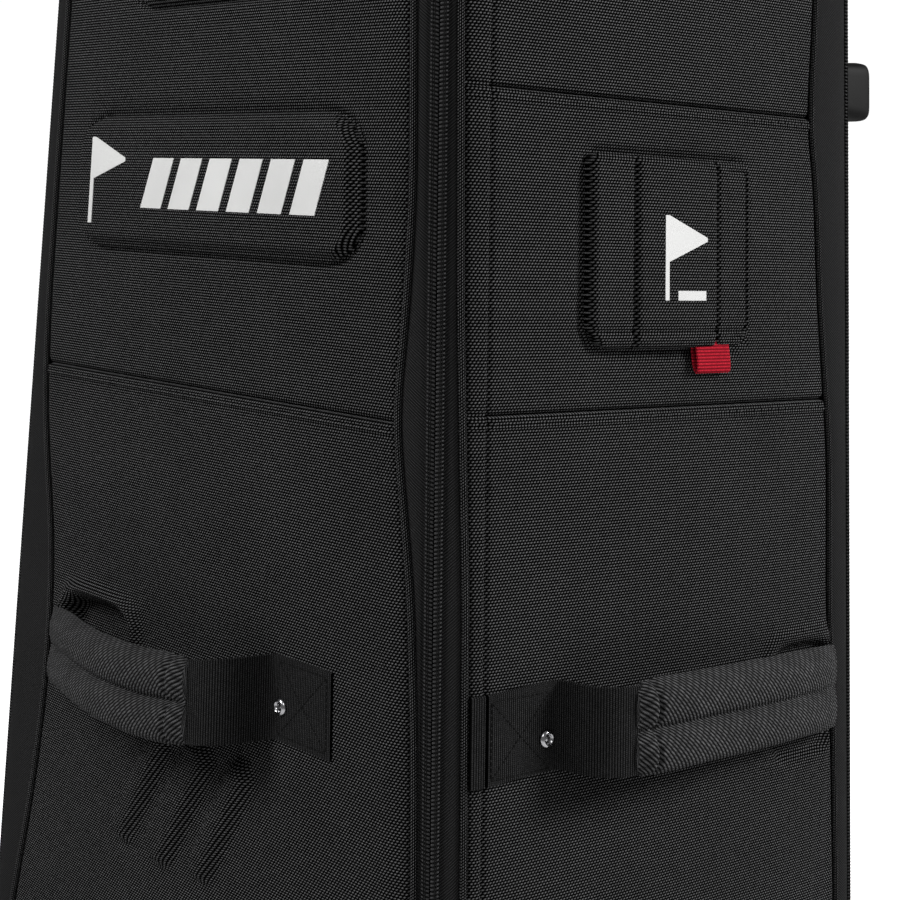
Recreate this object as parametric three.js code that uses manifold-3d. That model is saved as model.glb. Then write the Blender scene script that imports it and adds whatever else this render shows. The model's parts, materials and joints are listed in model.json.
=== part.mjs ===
// A wheeled golf travel case, standing upright on its base.
// Millimetres, +Z up, the front lid faces -Y and the wearer's right-hand side is +X.
// The origin is the middle of the flat base, on the floor.
import * as THREE from "three";
import { mergeVertices } from "three/addons/utils/BufferGeometryUtils.js";
import Module from "manifold-3d";

const wasm = await Module();
wasm.setup();

// ---- Driving dimensions: the body ----
const HEIGHT = 1300; // floor to the top of the hood
const PLAN_Z = 726; // the height at which the plan outline is drawn: the panels' cross seam
const HALF_WIDTH = 206; // half the case's width at PLAN_Z
const HALF_DEPTH = 170; // half the case's depth at PLAN_Z
const CORNER_R = 35; // radius of the four upright corners
const WIDTH_LEAN = 0.072; // each side wall comes in by this much for each millimetre of height
const DEPTH_LEAN = 0.022; // the same for the front and the back
const TUB_TOP = 200; // rim of the moulded base tub
const LEG_BOTTOM = 250; // lower end of the lid and of the side pocket covers
const ZIP_TOP = 1165; // the main zip's run across the front, under the hood
const GAP = 0.3; // between pieces that touch
const SEAM_GAP = 0.6; // between a moving panel and the sewn tape beside it

// ---- Walls ----
const TUB_WALL = 5;
const TUB_EDGE = 26; // rounding of the tub's lower edge
const PAD_THICK = 12;
const LID_THICK = 10;
const BACK_THICK = 8;
const COVER_THICK = 6; // the outer skin of a side pocket
const POCKET_GAP = 12; // clear depth of a side pocket
const WALL_THICK = 6; // padded wall between the pocket and the main compartment
const BAND_THICK = 24; // padded ring on the tub's rim
const HOOD_THICK = 9;
const FOAM_THICK = 10;
const HOOD_ROUND = 62; // rounding of the hood's top edge

// ---- Zips ----
const TAPE_WIDTH = 24; // one half of a zip, from the middle of the teeth to its seam
const TAPE_THICK = 1.2;
const COIL_EDGE = 0.5; // half the slit between the two rows of teeth
const COIL_WIDTH = 4.4; // from the middle of the slit to the outer side of one row
const COIL_RISE = 2; // how far the teeth stand out of the tape
const FOOT_BOTTOM = 203; // lower end of each upright zip, with its stop
const STOP_HEIGHT = 4;
const SLIDER_Z = 212; // lower end of a slider, parked
const SLIDER_LENGTH = 20;
const SLIDER_HALF = 6.6;
const SLIDER_SHEET = 1.5; // thickness of a slider's plates
const SLIDER_CLEAR = 0.7; // between the teeth and the slider
const CORNER_SAG = 0.8; // how far the tape falls back round the corner within a slider's width
const PULL_LENGTH = 34;

// ---- Handles ----
const HANDLE_Z = 570; // middle of the three carry handles
const WEBBING = 46; // webbing width
const WEBBING_THICK = 2.5;
const GRIP_HEIGHT = 52;
const GRIP_THICK = 16;
const GRIP_STANDOFF = 30; // finger room between the panel and the grip
const PATCH_LENGTH = 46; // sewn square at the handle's inner end
const ANCHOR_RISE = 19; // how far the fixed webbing ends stand out of the panel
const SWING_CLEAR = 14.5; // nothing on the swinging handle comes closer to the panel than this
const RIVET_R = 4.5;
const RIVET_RISE = 2;
const RIVET_EDGE = 6; // from the sewn square's inner edge to the rivet's middle
const RIVET_DROP = 4; // below the middle of the webbing
const FOLD_GAP = 0.5; // between the sewn square's upright fold and the loop
const END_GAP = 2.5; // between the grip and its sewn outer end, so that it can lift
const END_LENGTH = 5;
const LOOP_LENGTH = 24; // from the fold to the grip
const TAPER_LONG = 62; // where the grip starts to come down to its outer end
const TAPER_SHORT = 25;
const FRONT_HANDLE = { start: 134, length: 300 };
const SIDE_EDGE = HALF_DEPTH - CORNER_R + (CORNER_R * Math.PI) / 4 - TAPE_WIDTH; // edge of a side cover
const SIDE_HANDLE = { start: 2.5 - SIDE_EDGE, length: 2 * SIDE_EDGE + 1 };

// ---- Luggage label flap, front badge ----
const FLAP = { y: -9, width: 125, bottom: 761, top: 860, thick: 7, corner: 14 };
const LABEL_THICK = 1.5;
const TAB = { y: 27, width: 28, drop: 14, thick: 1.6 };
const BADGE = { x: 9, width: 278, bottom: 801, top: 872, thick: 3, corner: 18 };

// ---- Wheels, bumpers and tow handle ----
const WHEEL_R = 38;
const WHEEL_WIDTH = 24;
const HUB_R = 22;
const AXLE_R = 4;
const WHEEL_X = 160;
const WHEEL_PROUD = 9; // how far the wheels stand out behind the tub
const WHEEL_LIFT = 3; // wheels clear the floor while the case stands up
const WELL_CLEAR = 4;
const WELL_WALL = 5;
const PAD_BACK_GAP = 2; // between the floor pad and the wheel wells
const CORNER_EXTRA = 6; // the tub's corners are a little rounder than the walls'
const BUMPER = { x: 144, width: 56, z: 910, height: 34, out: 49, corner: 6, flare: 2.5 };
const TOW = { z: 1140, width: 130, drop: 86, reach: 15, plate: 3, grip: 13 };

// ---- Helpers: booleans ----
function toSolid(geometry) {
  const bare = geometry.clone();
  bare.deleteAttribute("normal");
  bare.deleteAttribute("uv");
  const merged = mergeVertices(bare, 1e-3);
  return new wasm.Manifold(
    new wasm.Mesh({
      numProp: 3,
      vertProperties: merged.attributes.position.array,
      triVerts: new Uint32Array(merged.index.array),
    }),
  );
}

function toGeometry(solid) {
  const mesh = solid.getMesh();
  const geometry = new THREE.BufferGeometry();
  geometry.setAttribute("position", new THREE.BufferAttribute(mesh.vertProperties, 3));
  geometry.setIndex(new THREE.BufferAttribute(mesh.triVerts, 1));
  geometry.computeVertexNormals();
  return geometry;
}

function join(...pieces) {
  return toGeometry(pieces.map(toSolid).reduce((sum, piece) => sum.add(piece)));
}

function cut(body, ...tools) {
  return toGeometry(tools.map(toSolid).reduce((rest, tool) => rest.subtract(tool), toSolid(body)));
}

function common(a, b) {
  return toGeometry(toSolid(a).intersect(toSolid(b)));
}

// ---- Helpers: shapes ----
function block(x0, x1, y0, y1, z0, z1) {
  const geometry = new THREE.BoxGeometry(x1 - x0, y1 - y0, z1 - z0);
  return geometry.translate((x0 + x1) / 2, (y0 + y1) / 2, (z0 + z1) / 2);
}

function roundedRect(halfX, halfY, r) {
  const shape = new THREE.Shape();
  shape.moveTo(halfX, -halfY + r);
  shape.lineTo(halfX, halfY - r);
  shape.absarc(halfX - r, halfY - r, r, 0, Math.PI / 2);
  shape.lineTo(-halfX + r, halfY);
  shape.absarc(-halfX + r, halfY - r, r, Math.PI / 2, Math.PI);
  shape.lineTo(-halfX, -halfY + r);
  shape.absarc(-halfX + r, -halfY + r, r, Math.PI, 1.5 * Math.PI);
  shape.lineTo(halfX - r, -halfY);
  shape.absarc(halfX - r, -halfY + r, r, 1.5 * Math.PI, 2 * Math.PI);
  return shape;
}

function prism(shape, z0, z1, curveSegments = 6) {
  const options = { depth: z1 - z0, bevelEnabled: false, curveSegments };
  return new THREE.ExtrudeGeometry(shape, options).translate(0, 0, z0);
}

// A flat plate seen from its own front, turned to stand on the face named, `out` from the plan outline.
function standing(shape, face, along, z, out, thick) {
  const plate = new THREE.ExtrudeGeometry(shape, { depth: thick, bevelEnabled: false, curveSegments: 5 });
  plate.rotateX(Math.PI / 2);
  if (face === "front") plate.translate(along, -HALF_DEPTH - out, z);
  if (face === "right") plate.rotateZ(Math.PI / 2).translate(HALF_WIDTH + out, along, z);
  if (face === "left") plate.rotateZ(-Math.PI / 2).translate(-HALF_WIDTH - out, along, z);
  return plate;
}

// ---- The plan outline ----
// A rounded rectangle, measured anticlockwise from the middle of the front-right corner.
const HALF_ARC = (CORNER_R * Math.PI) / 4;
const SIDE_RUN = 2 * (HALF_DEPTH - CORNER_R);
const FRONT_RUN = 2 * (HALF_WIDTH - CORNER_R);
const BACK_RIGHT = 2 * HALF_ARC + SIDE_RUN;
const BACK_LEFT = BACK_RIGHT + 2 * HALF_ARC + FRONT_RUN;
const FRONT_LEFT = BACK_LEFT + 2 * HALF_ARC + SIDE_RUN;
const FRONT_RIGHT = FRONT_LEFT + 2 * HALF_ARC + FRONT_RUN;
const CORNERS = [
  { at: 0, x: 1, y: -1, run: SIDE_RUN },
  { at: BACK_RIGHT, x: 1, y: 1, run: FRONT_RUN },
  { at: BACK_LEFT, x: -1, y: 1, run: SIDE_RUN },
  { at: FRONT_LEFT, x: -1, y: -1, run: FRONT_RUN },
];

// The point at distance s along the outline, moved inwards by inset (outwards if negative).
function outlinePoint(s, inset) {
  const around = ((s % FRONT_RIGHT) + FRONT_RIGHT) % FRONT_RIGHT;
  const wrapped = around > FRONT_RIGHT - HALF_ARC ? around - FRONT_RIGHT : around;
  const corner = CORNERS.findLast((c) => wrapped >= c.at - HALF_ARC - 1e-6);
  const middle = Math.atan2(corner.y, corner.x);
  const turn = Math.min(wrapped - corner.at, HALF_ARC) / CORNER_R;
  const straight = Math.max(wrapped - corner.at - HALF_ARC, 0);
  const normal = new THREE.Vector2(Math.cos(middle + turn), Math.sin(middle + turn));
  const forward = new THREE.Vector2(-normal.y, normal.x);
  return new THREE.Vector2(corner.x * (HALF_WIDTH - CORNER_R), corner.y * (HALF_DEPTH - CORNER_R))
    .addScaledVector(normal, CORNER_R - inset)
    .addScaledVector(forward, straight);
}

// Places along the outline between s0 and s1 where a strip needs a corner: its ends, and steps round arcs.
function outlineSteps(s0, s1) {
  const steps = [s0, s1];
  for (const lap of [-FRONT_RIGHT, 0, FRONT_RIGHT]) {
    for (const corner of CORNERS) {
      for (let i = -3; i <= 3; i++) steps.push(lap + corner.at + (i / 3) * HALF_ARC);
    }
  }
  return steps.filter((s) => s >= s0 && s <= s1).sort((a, b) => a - b);
}

// A strip of wall: from s0 to s1 along the outline, between two insets, from z0 up to z1.
function strip(s0, s1, inset0, inset1, z0, z1) {
  const steps = outlineSteps(s0, s1).filter((s, i, all) => i === 0 || s - all[i - 1] > 0.05);
  const outer = steps.map((s) => outlinePoint(s, inset0));
  const inner = steps.map((s) => outlinePoint(s, inset1)).reverse();
  return prism(new THREE.Shape([...outer, ...inner]), z0, z1);
}

// A closed ring of the outline.
function ring(inset0, inset1, z0, z1) {
  const outer = roundedRect(HALF_WIDTH - inset0, HALF_DEPTH - inset0, CORNER_R - inset0);
  outer.holes.push(roundedRect(HALF_WIDTH - inset1, HALF_DEPTH - inset1, CORNER_R - inset1));
  return prism(outer, z0, z1);
}

// The walls lean in towards the top: whatever stands at a corner or a face moves with it, unbent.
const RIGID_X = HALF_WIDTH - CORNER_R - 6;
const RIGID_Y = HALF_DEPTH - CORNER_R - 6;
function lean(geometry) {
  const position = geometry.attributes.position;
  for (let i = 0; i < position.count; i++) {
    const below = PLAN_Z - position.getZ(i);
    const shareX = THREE.MathUtils.clamp(position.getX(i) / RIGID_X, -1, 1);
    const shareY = THREE.MathUtils.clamp(position.getY(i) / RIGID_Y, -1, 1);
    position.setX(i, position.getX(i) + shareX * WIDTH_LEAN * below);
    position.setY(i, position.getY(i) + shareY * DEPTH_LEAN * below);
  }
  return geometry;
}

// ---- Materials ----
const finish = (color, roughness, metalness = 0) =>
  new THREE.MeshStandardMaterial({ color, roughness, metalness });
const FABRIC = finish(0x26272a, 0.85);
const TAPE = finish(0x1c1c1d, 0.8);
const WEB = finish(0x1a1a1b, 0.9);
const PADDING = finish(0x222224, 0.9);
const LINING = finish(0x3c3e42, 0.95);
const MOULDED = finish(0x151516, 0.55);
const RUBBER = finish(0x121212, 0.7);
const STEEL = finish(0xb8bbc0, 0.25, 1);
const GUNMETAL = finish(0x2b2c2e, 0.35, 1);
const RED = finish(0xb81c2c, 0.8);
const CLEAR = finish(0x8f979c, 0.2);

const travelCase = new THREE.Group();
function add(name, geometry, material) {
  const mesh = new THREE.Mesh(geometry, material);
  mesh.name = name;
  travelCase.add(mesh);
}

const halfWidthAt = (z) => HALF_WIDTH + WIDTH_LEAN * (PLAN_Z - z);
const halfDepthAt = (z) => HALF_DEPTH + DEPTH_LEAN * (PLAN_Z - z);

// ---- Base: moulded tub with two wheel wells, foam pad, padded rim ----
const TUB_HALF_X = halfWidthAt(TUB_TOP);
const TUB_HALF_Y = halfDepthAt(TUB_TOP);
const WHEEL_Y = TUB_HALF_Y + WHEEL_PROUD - WHEEL_R;
const WHEEL_Z = WHEEL_R + WHEEL_LIFT;
const WELL_HALF = WHEEL_WIDTH / 2 + WELL_CLEAR;
const WELL_FRONT = WHEEL_Y - WHEEL_R - WELL_CLEAR;
const WELL_TOP = WHEEL_Z + WHEEL_R + WELL_CLEAR;

// A rounded box with its edges rounded at the bottom, open to any height.
function bowl(inset, floor, top) {
  const edge = TUB_EDGE - inset;
  const outline = roundedRect(TUB_HALF_X - TUB_EDGE, TUB_HALF_Y - TUB_EDGE, CORNER_R - TUB_EDGE + CORNER_EXTRA);
  const tall = new THREE.ExtrudeGeometry(outline, {
    depth: top - floor,
    bevelThickness: edge,
    bevelSize: edge,
    bevelSegments: 3,
    curveSegments: 4,
  }).translate(0, 0, floor + edge);
  return common(tall, block(-TUB_HALF_X, TUB_HALF_X, -TUB_HALF_Y, TUB_HALF_Y, floor, top));
}

function addBase() {
  const wells = [-1, 1].map((side) => side * WHEEL_X);
  const housings = wells.map((x) =>
    block(
      x - WELL_HALF - WELL_WALL,
      x + WELL_HALF + WELL_WALL,
      WELL_FRONT - WELL_WALL,
      TUB_HALF_Y,
      0,
      WELL_TOP + WELL_WALL,
    ),
  );
  const cavity = cut(bowl(TUB_WALL, TUB_WALL, TUB_TOP + 1), ...housings);
  const openings = wells.map((x) =>
    block(x - WELL_HALF, x + WELL_HALF, WELL_FRONT, TUB_HALF_Y + 1, -1, WELL_TOP),
  );
  const axleHoles = wells.map((x) => {
    const hole = new THREE.CylinderGeometry(AXLE_R + GAP, AXLE_R + GAP, 2 * (WELL_HALF + WELL_WALL + 1), 16);
    return hole.rotateZ(Math.PI / 2).translate(x, WHEEL_Y, WHEEL_Z);
  });
  add("base_tub", cut(bowl(0, 0, TUB_TOP), cavity, ...openings, ...axleHoles), MOULDED);

  const padFront = -TUB_HALF_Y + TUB_EDGE + TUB_WALL;
  const padBack = WELL_FRONT - WELL_WALL - PAD_BACK_GAP;
  const padSide = TUB_HALF_X - TUB_EDGE - TUB_WALL;
  const padFloor = TUB_WALL + GAP;
  add("base_pad", block(-padSide, padSide, padFront, padBack, padFloor, padFloor + PAD_THICK), LINING);

  const low = TUB_TOP + GAP;
  const high = LEG_BOTTOM - SEAM_GAP;
  const behind = TAPE_THICK + CORNER_SAG + SLIDER_SHEET + 2 * SLIDER_CLEAR;
  const faces = [
    [0, BACK_RIGHT],
    [BACK_RIGHT, BACK_LEFT],
    [BACK_LEFT, FRONT_LEFT],
    [FRONT_LEFT, FRONT_RIGHT],
  ].map(([from, to]) =>
    strip(from + TAPE_WIDTH + SEAM_GAP, to - TAPE_WIDTH - SEAM_GAP, 0, behind + 1, low, high),
  );
  add("base_band", lean(join(ring(behind, BAND_THICK, low, high), ...faces)), FABRIC);
}

function addWheel(side, sign) {
  const x = sign * WHEEL_X;
  const halfWidth = WHEEL_WIDTH / 2;
  const place = (geometry) => geometry.rotateZ(-Math.PI / 2).translate(x, WHEEL_Y, WHEEL_Z);
  const shoulder = 7;
  const tread = [
    [HUB_R + GAP, -halfWidth],
    [WHEEL_R - shoulder, -halfWidth],
    [WHEEL_R - 2, -halfWidth / 2],
    [WHEEL_R, 0],
    [WHEEL_R - 2, halfWidth / 2],
    [WHEEL_R - shoulder, halfWidth],
    [HUB_R + GAP, halfWidth],
    [HUB_R + GAP, -halfWidth],
  ];
  const hub = [
    [AXLE_R + GAP, -halfWidth],
    [11, -halfWidth],
    [11, -halfWidth + 3],
    [HUB_R - 3, -halfWidth + 3],
    [HUB_R - 3, -halfWidth + 1],
    [HUB_R, -halfWidth + 1],
    [HUB_R, halfWidth - 1],
    [HUB_R - 3, halfWidth - 1],
    [HUB_R - 3, halfWidth - 3],
    [11, halfWidth - 3],
    [11, halfWidth],
    [AXLE_R + GAP, halfWidth],
    [AXLE_R + GAP, -halfWidth],
  ];
  const lathe = (points) => new THREE.LatheGeometry(points.map(([r, z]) => new THREE.Vector2(r, z)), 24);
  add("wheel_tyre_" + side, place(lathe(tread)), RUBBER);
  add("wheel_hub_" + side, place(lathe(hub)), MOULDED);
  const length = 2 * (WELL_HALF + WELL_WALL - 1);
  add("wheel_axle_" + side, place(new THREE.CylinderGeometry(AXLE_R, AXLE_R, length, 16)), STEEL);
}

// ---- Walls, and the hood over them ----
const WALL_INSET = COVER_THICK + POCKET_GAP;
const BODY_TOP = ZIP_TOP + TAPE_WIDTH + SEAM_GAP;

function addWalls() {
  const low = LEG_BOTTOM;
  const backFrom = BACK_RIGHT + TAPE_WIDTH + GAP;
  const backTo = BACK_LEFT - TAPE_WIDTH - GAP;
  add("back_panel", lean(strip(backFrom, backTo, 0, BACK_THICK, low, BODY_TOP)), FABRIC);

  // Each inner wall turns out at both ends to carry the tape of the zip there.
  const behindTape = TAPE_THICK + GAP;
  const turn = 6;
  const clearOfTeeth = SLIDER_HALF + 1.5;
  const seat = (from, to) => strip(from, to, behindTape, behindTape + 3, low, BODY_TOP);
  const web = (from, to) => strip(from, to, behindTape, WALL_INSET + WALL_THICK, low, BODY_TOP);
  const wall = (from, to) => strip(from, to, WALL_INSET, WALL_INSET + WALL_THICK, low, BODY_TOP);
  const right = join(
    seat(clearOfTeeth, TAPE_WIDTH),
    web(TAPE_WIDTH - turn, TAPE_WIDTH),
    wall(TAPE_WIDTH - turn, BACK_RIGHT + TAPE_WIDTH),
    web(BACK_RIGHT + TAPE_WIDTH - turn, BACK_RIGHT + TAPE_WIDTH),
    seat(BACK_RIGHT + clearOfTeeth, BACK_RIGHT + TAPE_WIDTH),
  );
  const left = join(
    seat(FRONT_LEFT - TAPE_WIDTH, FRONT_LEFT - clearOfTeeth),
    web(FRONT_LEFT - TAPE_WIDTH, FRONT_LEFT - TAPE_WIDTH + turn),
    wall(BACK_LEFT - TAPE_WIDTH, FRONT_LEFT - TAPE_WIDTH + turn),
    web(BACK_LEFT - TAPE_WIDTH, BACK_LEFT - TAPE_WIDTH + turn),
    seat(BACK_LEFT - TAPE_WIDTH, BACK_LEFT - clearOfTeeth),
  );
  add("inner_wall_right", lean(right), LINING);
  add("inner_wall_left", lean(left), LINING);
}

// A dome with the plan outline at BODY_TOP, inset all round and lowered by the same amount.
function dome(inset, floor) {
  const round = HOOD_ROUND - inset;
  const halfX = halfWidthAt(BODY_TOP) - HOOD_ROUND;
  const halfY = halfDepthAt(BODY_TOP) - HOOD_ROUND;
  const full = new THREE.ExtrudeGeometry(roundedRect(halfX, halfY, 8), {
    depth: 2 * (HEIGHT - BODY_TOP - HOOD_ROUND),
    bevelThickness: round,
    bevelSize: round,
    bevelSegments: 5,
    curveSegments: 5,
  }).translate(0, 0, 2 * BODY_TOP - HEIGHT + HOOD_ROUND);
  return common(full, block(-HALF_WIDTH, HALF_WIDTH, -HALF_DEPTH, HALF_DEPTH, floor, HEIGHT + 1));
}

function addHood() {
  const floor = BODY_TOP + GAP;
  add("hood_shell", cut(dome(0, floor), dome(HOOD_THICK, floor - 1)), FABRIC);
  const foam = HOOD_THICK + GAP;
  add("hood_foam", cut(dome(foam, floor), dome(foam + FOAM_THICK, floor - 1)), LINING);
}

// ---- Zips: each half is a tape with a row of teeth along its edge ----
function zipHalf(middle, side, z0, z1) {
  const reach = (a, b) => (side > 0 ? [middle + a, middle + b] : [middle - b, middle - a]);
  const tape = strip(...reach(COIL_EDGE, TAPE_WIDTH), 0, TAPE_THICK, z0, z1);
  const teeth = strip(...reach(COIL_EDGE, COIL_WIDTH), -COIL_RISE, TAPE_THICK, z0, z1);
  return [tape, teeth];
}

// The main zip's run across the front, on one side of its slit.
function zipAcross(side) {
  const edge = (a, b) => (side > 0 ? [ZIP_TOP + a, ZIP_TOP + b] : [ZIP_TOP - b, ZIP_TOP - a]);
  const reach = side > 0 ? TAPE_WIDTH : -COIL_EDGE;
  const teethReach = side > 0 ? COIL_WIDTH : -COIL_EDGE;
  const from = FRONT_LEFT;
  const to = FRONT_RIGHT;
  return [
    strip(from - reach, to + reach, 0, TAPE_THICK, ...edge(COIL_EDGE, TAPE_WIDTH)),
    strip(from - teethReach, to + teethReach, -COIL_RISE, TAPE_THICK, ...edge(COIL_EDGE, COIL_WIDTH)),
  ];
}

function addMainZip() {
  const body = [
    ...zipHalf(0, 1, LEG_BOTTOM, ZIP_TOP + COIL_EDGE),
    ...zipHalf(FRONT_LEFT, -1, LEG_BOTTOM, ZIP_TOP + COIL_EDGE),
    ...zipAcross(1),
  ];
  const lid = [
    ...zipHalf(FRONT_RIGHT, -1, LEG_BOTTOM, ZIP_TOP - COIL_EDGE),
    ...zipHalf(FRONT_LEFT, 1, LEG_BOTTOM, ZIP_TOP - COIL_EDGE),
    ...zipAcross(-1),
  ];
  add("main_zip_body_half", lean(join(...body)), TAPE);
  add("main_zip_lid_half", lean(join(...lid)), TAPE);
}

function addPocketZip(side, middle, coverSide) {
  const top = BODY_TOP;
  add("pocket_zip_body_" + side, lean(join(...zipHalf(middle, -coverSide, LEG_BOTTOM, top))), TAPE);
  add("pocket_zip_cover_" + side, lean(join(...zipHalf(middle, coverSide, LEG_BOTTOM, top - 2))), TAPE);
}

// The fixed lower end of an upright zip, where its slider parks.
function addZipFoot(name, middle) {
  const top = LEG_BOTTOM - SEAM_GAP;
  const stop = strip(
    middle - COIL_WIDTH,
    middle + COIL_WIDTH,
    -COIL_RISE,
    TAPE_THICK,
    FOOT_BOTTOM,
    FOOT_BOTTOM + STOP_HEIGHT,
  );
  const halves = [...zipHalf(middle, 1, FOOT_BOTTOM, top), ...zipHalf(middle, -1, FOOT_BOTTOM, top)];
  add(name, lean(join(stop, ...halves)), TAPE);
}

// ---- Sliders and pulls, drawn across the teeth (u), out of the case (v) and up from the slider's end (w) ----
const PLATE_IN = COIL_RISE + SLIDER_CLEAR;
const PLATE_OUT = PLATE_IN + SLIDER_SHEET;
const BAIL_RISE = 2.4;
const BAIL_HALF = 1.1;
const BAIL_LOW = 4;
const BAIL_HIGH = 15;
const PIN_HALF = 0.75;
const PIN_V = PLATE_OUT + BAIL_RISE / 2;
const PIN_W = 11.3;

function cornerBox(middle, [u0, u1], [v0, v1], [w0, w1]) {
  const at = outlinePoint(middle, 0);
  const normal = at.clone().sub(outlinePoint(middle, 10)).normalize();
  const across = new THREE.Vector2(-normal.y, normal.x);
  const point = (u, v) => at.clone().addScaledVector(across, u).addScaledVector(normal, v);
  const shape = new THREE.Shape([point(u0, v0), point(u1, v0), point(u1, v1), point(u0, v1)]);
  return prism(shape, SLIDER_Z + w0, SLIDER_Z + w1);
}

function addSlider(name, middle) {
  const piece = (u, v, w) => cornerBox(middle, u, v, w);
  const full = [0, SLIDER_LENGTH];
  const flange = [COIL_WIDTH + SLIDER_CLEAR, SLIDER_HALF];
  const flangeDepth = [0.6, PLATE_OUT];
  const backIn = -TAPE_THICK - CORNER_SAG - SLIDER_CLEAR;
  const bailTop = PLATE_OUT + BAIL_RISE;
  const slider = join(
    piece([-SLIDER_HALF, SLIDER_HALF], [PLATE_IN, PLATE_OUT], full),
    piece(flange, flangeDepth, full),
    piece([-flange[1], -flange[0]], flangeDepth, full),
    piece([-SLIDER_HALF, SLIDER_HALF], [backIn - SLIDER_SHEET, backIn], full),
    piece([-0.2, 0.2], [backIn - 0.5, PLATE_IN + 0.5], [SLIDER_LENGTH - 8, SLIDER_LENGTH]),
    piece([-BAIL_HALF, BAIL_HALF], [bailTop, bailTop + 1.2], [BAIL_LOW, BAIL_HIGH]),
    piece([-BAIL_HALF, BAIL_HALF], [PLATE_IN, bailTop + 1.2], [BAIL_LOW, BAIL_LOW + 1.2]),
    piece([-BAIL_HALF, BAIL_HALF], [PLATE_IN, bailTop + 1.2], [BAIL_HIGH - 1.2, BAIL_HIGH]),
  );
  add(name, lean(slider), GUNMETAL);
}

function addPull(name, middle) {
  const piece = (u, w) => cornerBox(middle, u, [PIN_V - PIN_HALF, PIN_V + PIN_HALF], w);
  const arm = [BAIL_HALF + 0.9, BAIL_HALF + 2.5];
  const neck = -4;
  const pull = join(
    piece([-arm[1], arm[1]], [PIN_W - PIN_HALF, PIN_W + PIN_HALF]),
    piece(arm, [neck - 1, PIN_W + PIN_HALF]),
    piece([-arm[1], -arm[0]], [neck - 1, PIN_W + PIN_HALF]),
    piece([-arm[1] - 1, arm[1] + 1], [neck - PULL_LENGTH + 8, neck]),
  );
  add(name, lean(pull), GUNMETAL);
}

// ---- Carry handles, drawn along the panel (t, from the sewn square) and out of it (v) ----
function onFace(face, handle, t, v) {
  if (face === "front") return new THREE.Vector2(handle.start - t, -HALF_DEPTH - v);
  const sign = face === "right" ? 1 : -1;
  return new THREE.Vector2(sign * (HALF_WIDTH + v), handle.start + t);
}

function facePrism(face, handle, points, halfHeight) {
  const shape = new THREE.Shape(points.map(([t, v]) => onFace(face, handle, t, v)));
  return prism(shape, HANDLE_Z - halfHeight, HANDLE_Z + halfHeight);
}

function addHandle(face, handle) {
  const halfWeb = WEBBING / 2;
  const low = GAP;
  const sheet = low + WEBBING_THICK;
  const riser = PATCH_LENGTH + WEBBING_THICK;
  const patch = [
    [0, low],
    [riser, low],
    [riser, ANCHOR_RISE],
    [PATCH_LENGTH, ANCHOR_RISE],
    [PATCH_LENGTH, sheet],
    [0, sheet],
  ];
  add(face + "_handle_patch", lean(facePrism(face, handle, patch, halfWeb)), WEB);

  const end = handle.length;
  const endIn = end - END_LENGTH;
  const anchor = [
    [endIn, low],
    [end, low],
    [end, sheet],
    [end - 2, ANCHOR_RISE],
    [endIn, ANCHOR_RISE],
  ];
  add(face + "_handle_end", lean(facePrism(face, handle, anchor, halfWeb)), WEB);

  const grip0 = riser + LOOP_LENGTH;
  const grip1 = endIn - END_GAP;
  const top = GRIP_STANDOFF + GRIP_THICK;
  const mid = GRIP_STANDOFF + GRIP_THICK / 2;
  const loop = [
    [riser + FOLD_GAP, SWING_CLEAR],
    [riser + FOLD_GAP + WEBBING_THICK, SWING_CLEAR],
    [riser + 12, mid - 2 * WEBBING_THICK],
    [grip0 - GAP, mid - WEBBING_THICK],
    [grip0 - GAP, mid],
    [riser + 11, mid - WEBBING_THICK],
  ];
  add(face + "_handle_loop", lean(facePrism(face, handle, loop, halfWeb)), WEB);

  const grip = [
    [grip0, GRIP_STANDOFF],
    [end - TAPER_LONG, GRIP_STANDOFF],
    [end - TAPER_SHORT, GRIP_STANDOFF - 7],
    [grip1, SWING_CLEAR],
    [grip1, SWING_CLEAR + 12],
    [end - TAPER_SHORT, top - 7],
    [end - TAPER_LONG, top],
    [grip0, top],
  ];
  add(face + "_handle_grip", lean(facePrism(face, handle, grip, GRIP_HEIGHT / 2)), PADDING);

  const rivet = new THREE.CylinderGeometry(RIVET_R * 0.55, RIVET_R, RIVET_RISE, 16);
  if (face === "front") rivet.rotateX(Math.PI);
  else rivet.rotateZ(face === "right" ? -Math.PI / 2 : Math.PI / 2);
  const seat = onFace(face, handle, PATCH_LENGTH - RIVET_EDGE, sheet + GAP + RIVET_RISE / 2);
  add(face + "_handle_rivet", lean(rivet.translate(seat.x, seat.y, HANDLE_Z - RIVET_DROP)), STEEL);
}

// ---- Front lid ----
function addLid() {
  const edge = TAPE_WIDTH + GAP;
  const panel = strip(FRONT_LEFT + edge, FRONT_RIGHT - edge, 0, LID_THICK, LEG_BOTTOM, ZIP_TOP - edge);
  add("front_panel", lean(panel), FABRIC);
  const middle = (BADGE.bottom + BADGE.top) / 2;
  const shape = roundedRect(BADGE.width / 2, (BADGE.top - BADGE.bottom) / 2, BADGE.corner);
  add("front_badge", lean(standing(shape, "front", BADGE.x, middle, GAP, BADGE.thick)), FABRIC);
}

// ---- Side pocket covers ----
function addCover(side, from, to) {
  const high = BODY_TOP - 2;
  add("side_cover_" + side, lean(strip(from, to, 0, COVER_THICK, LEG_BOTTOM, high)), FABRIC);
}

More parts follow.
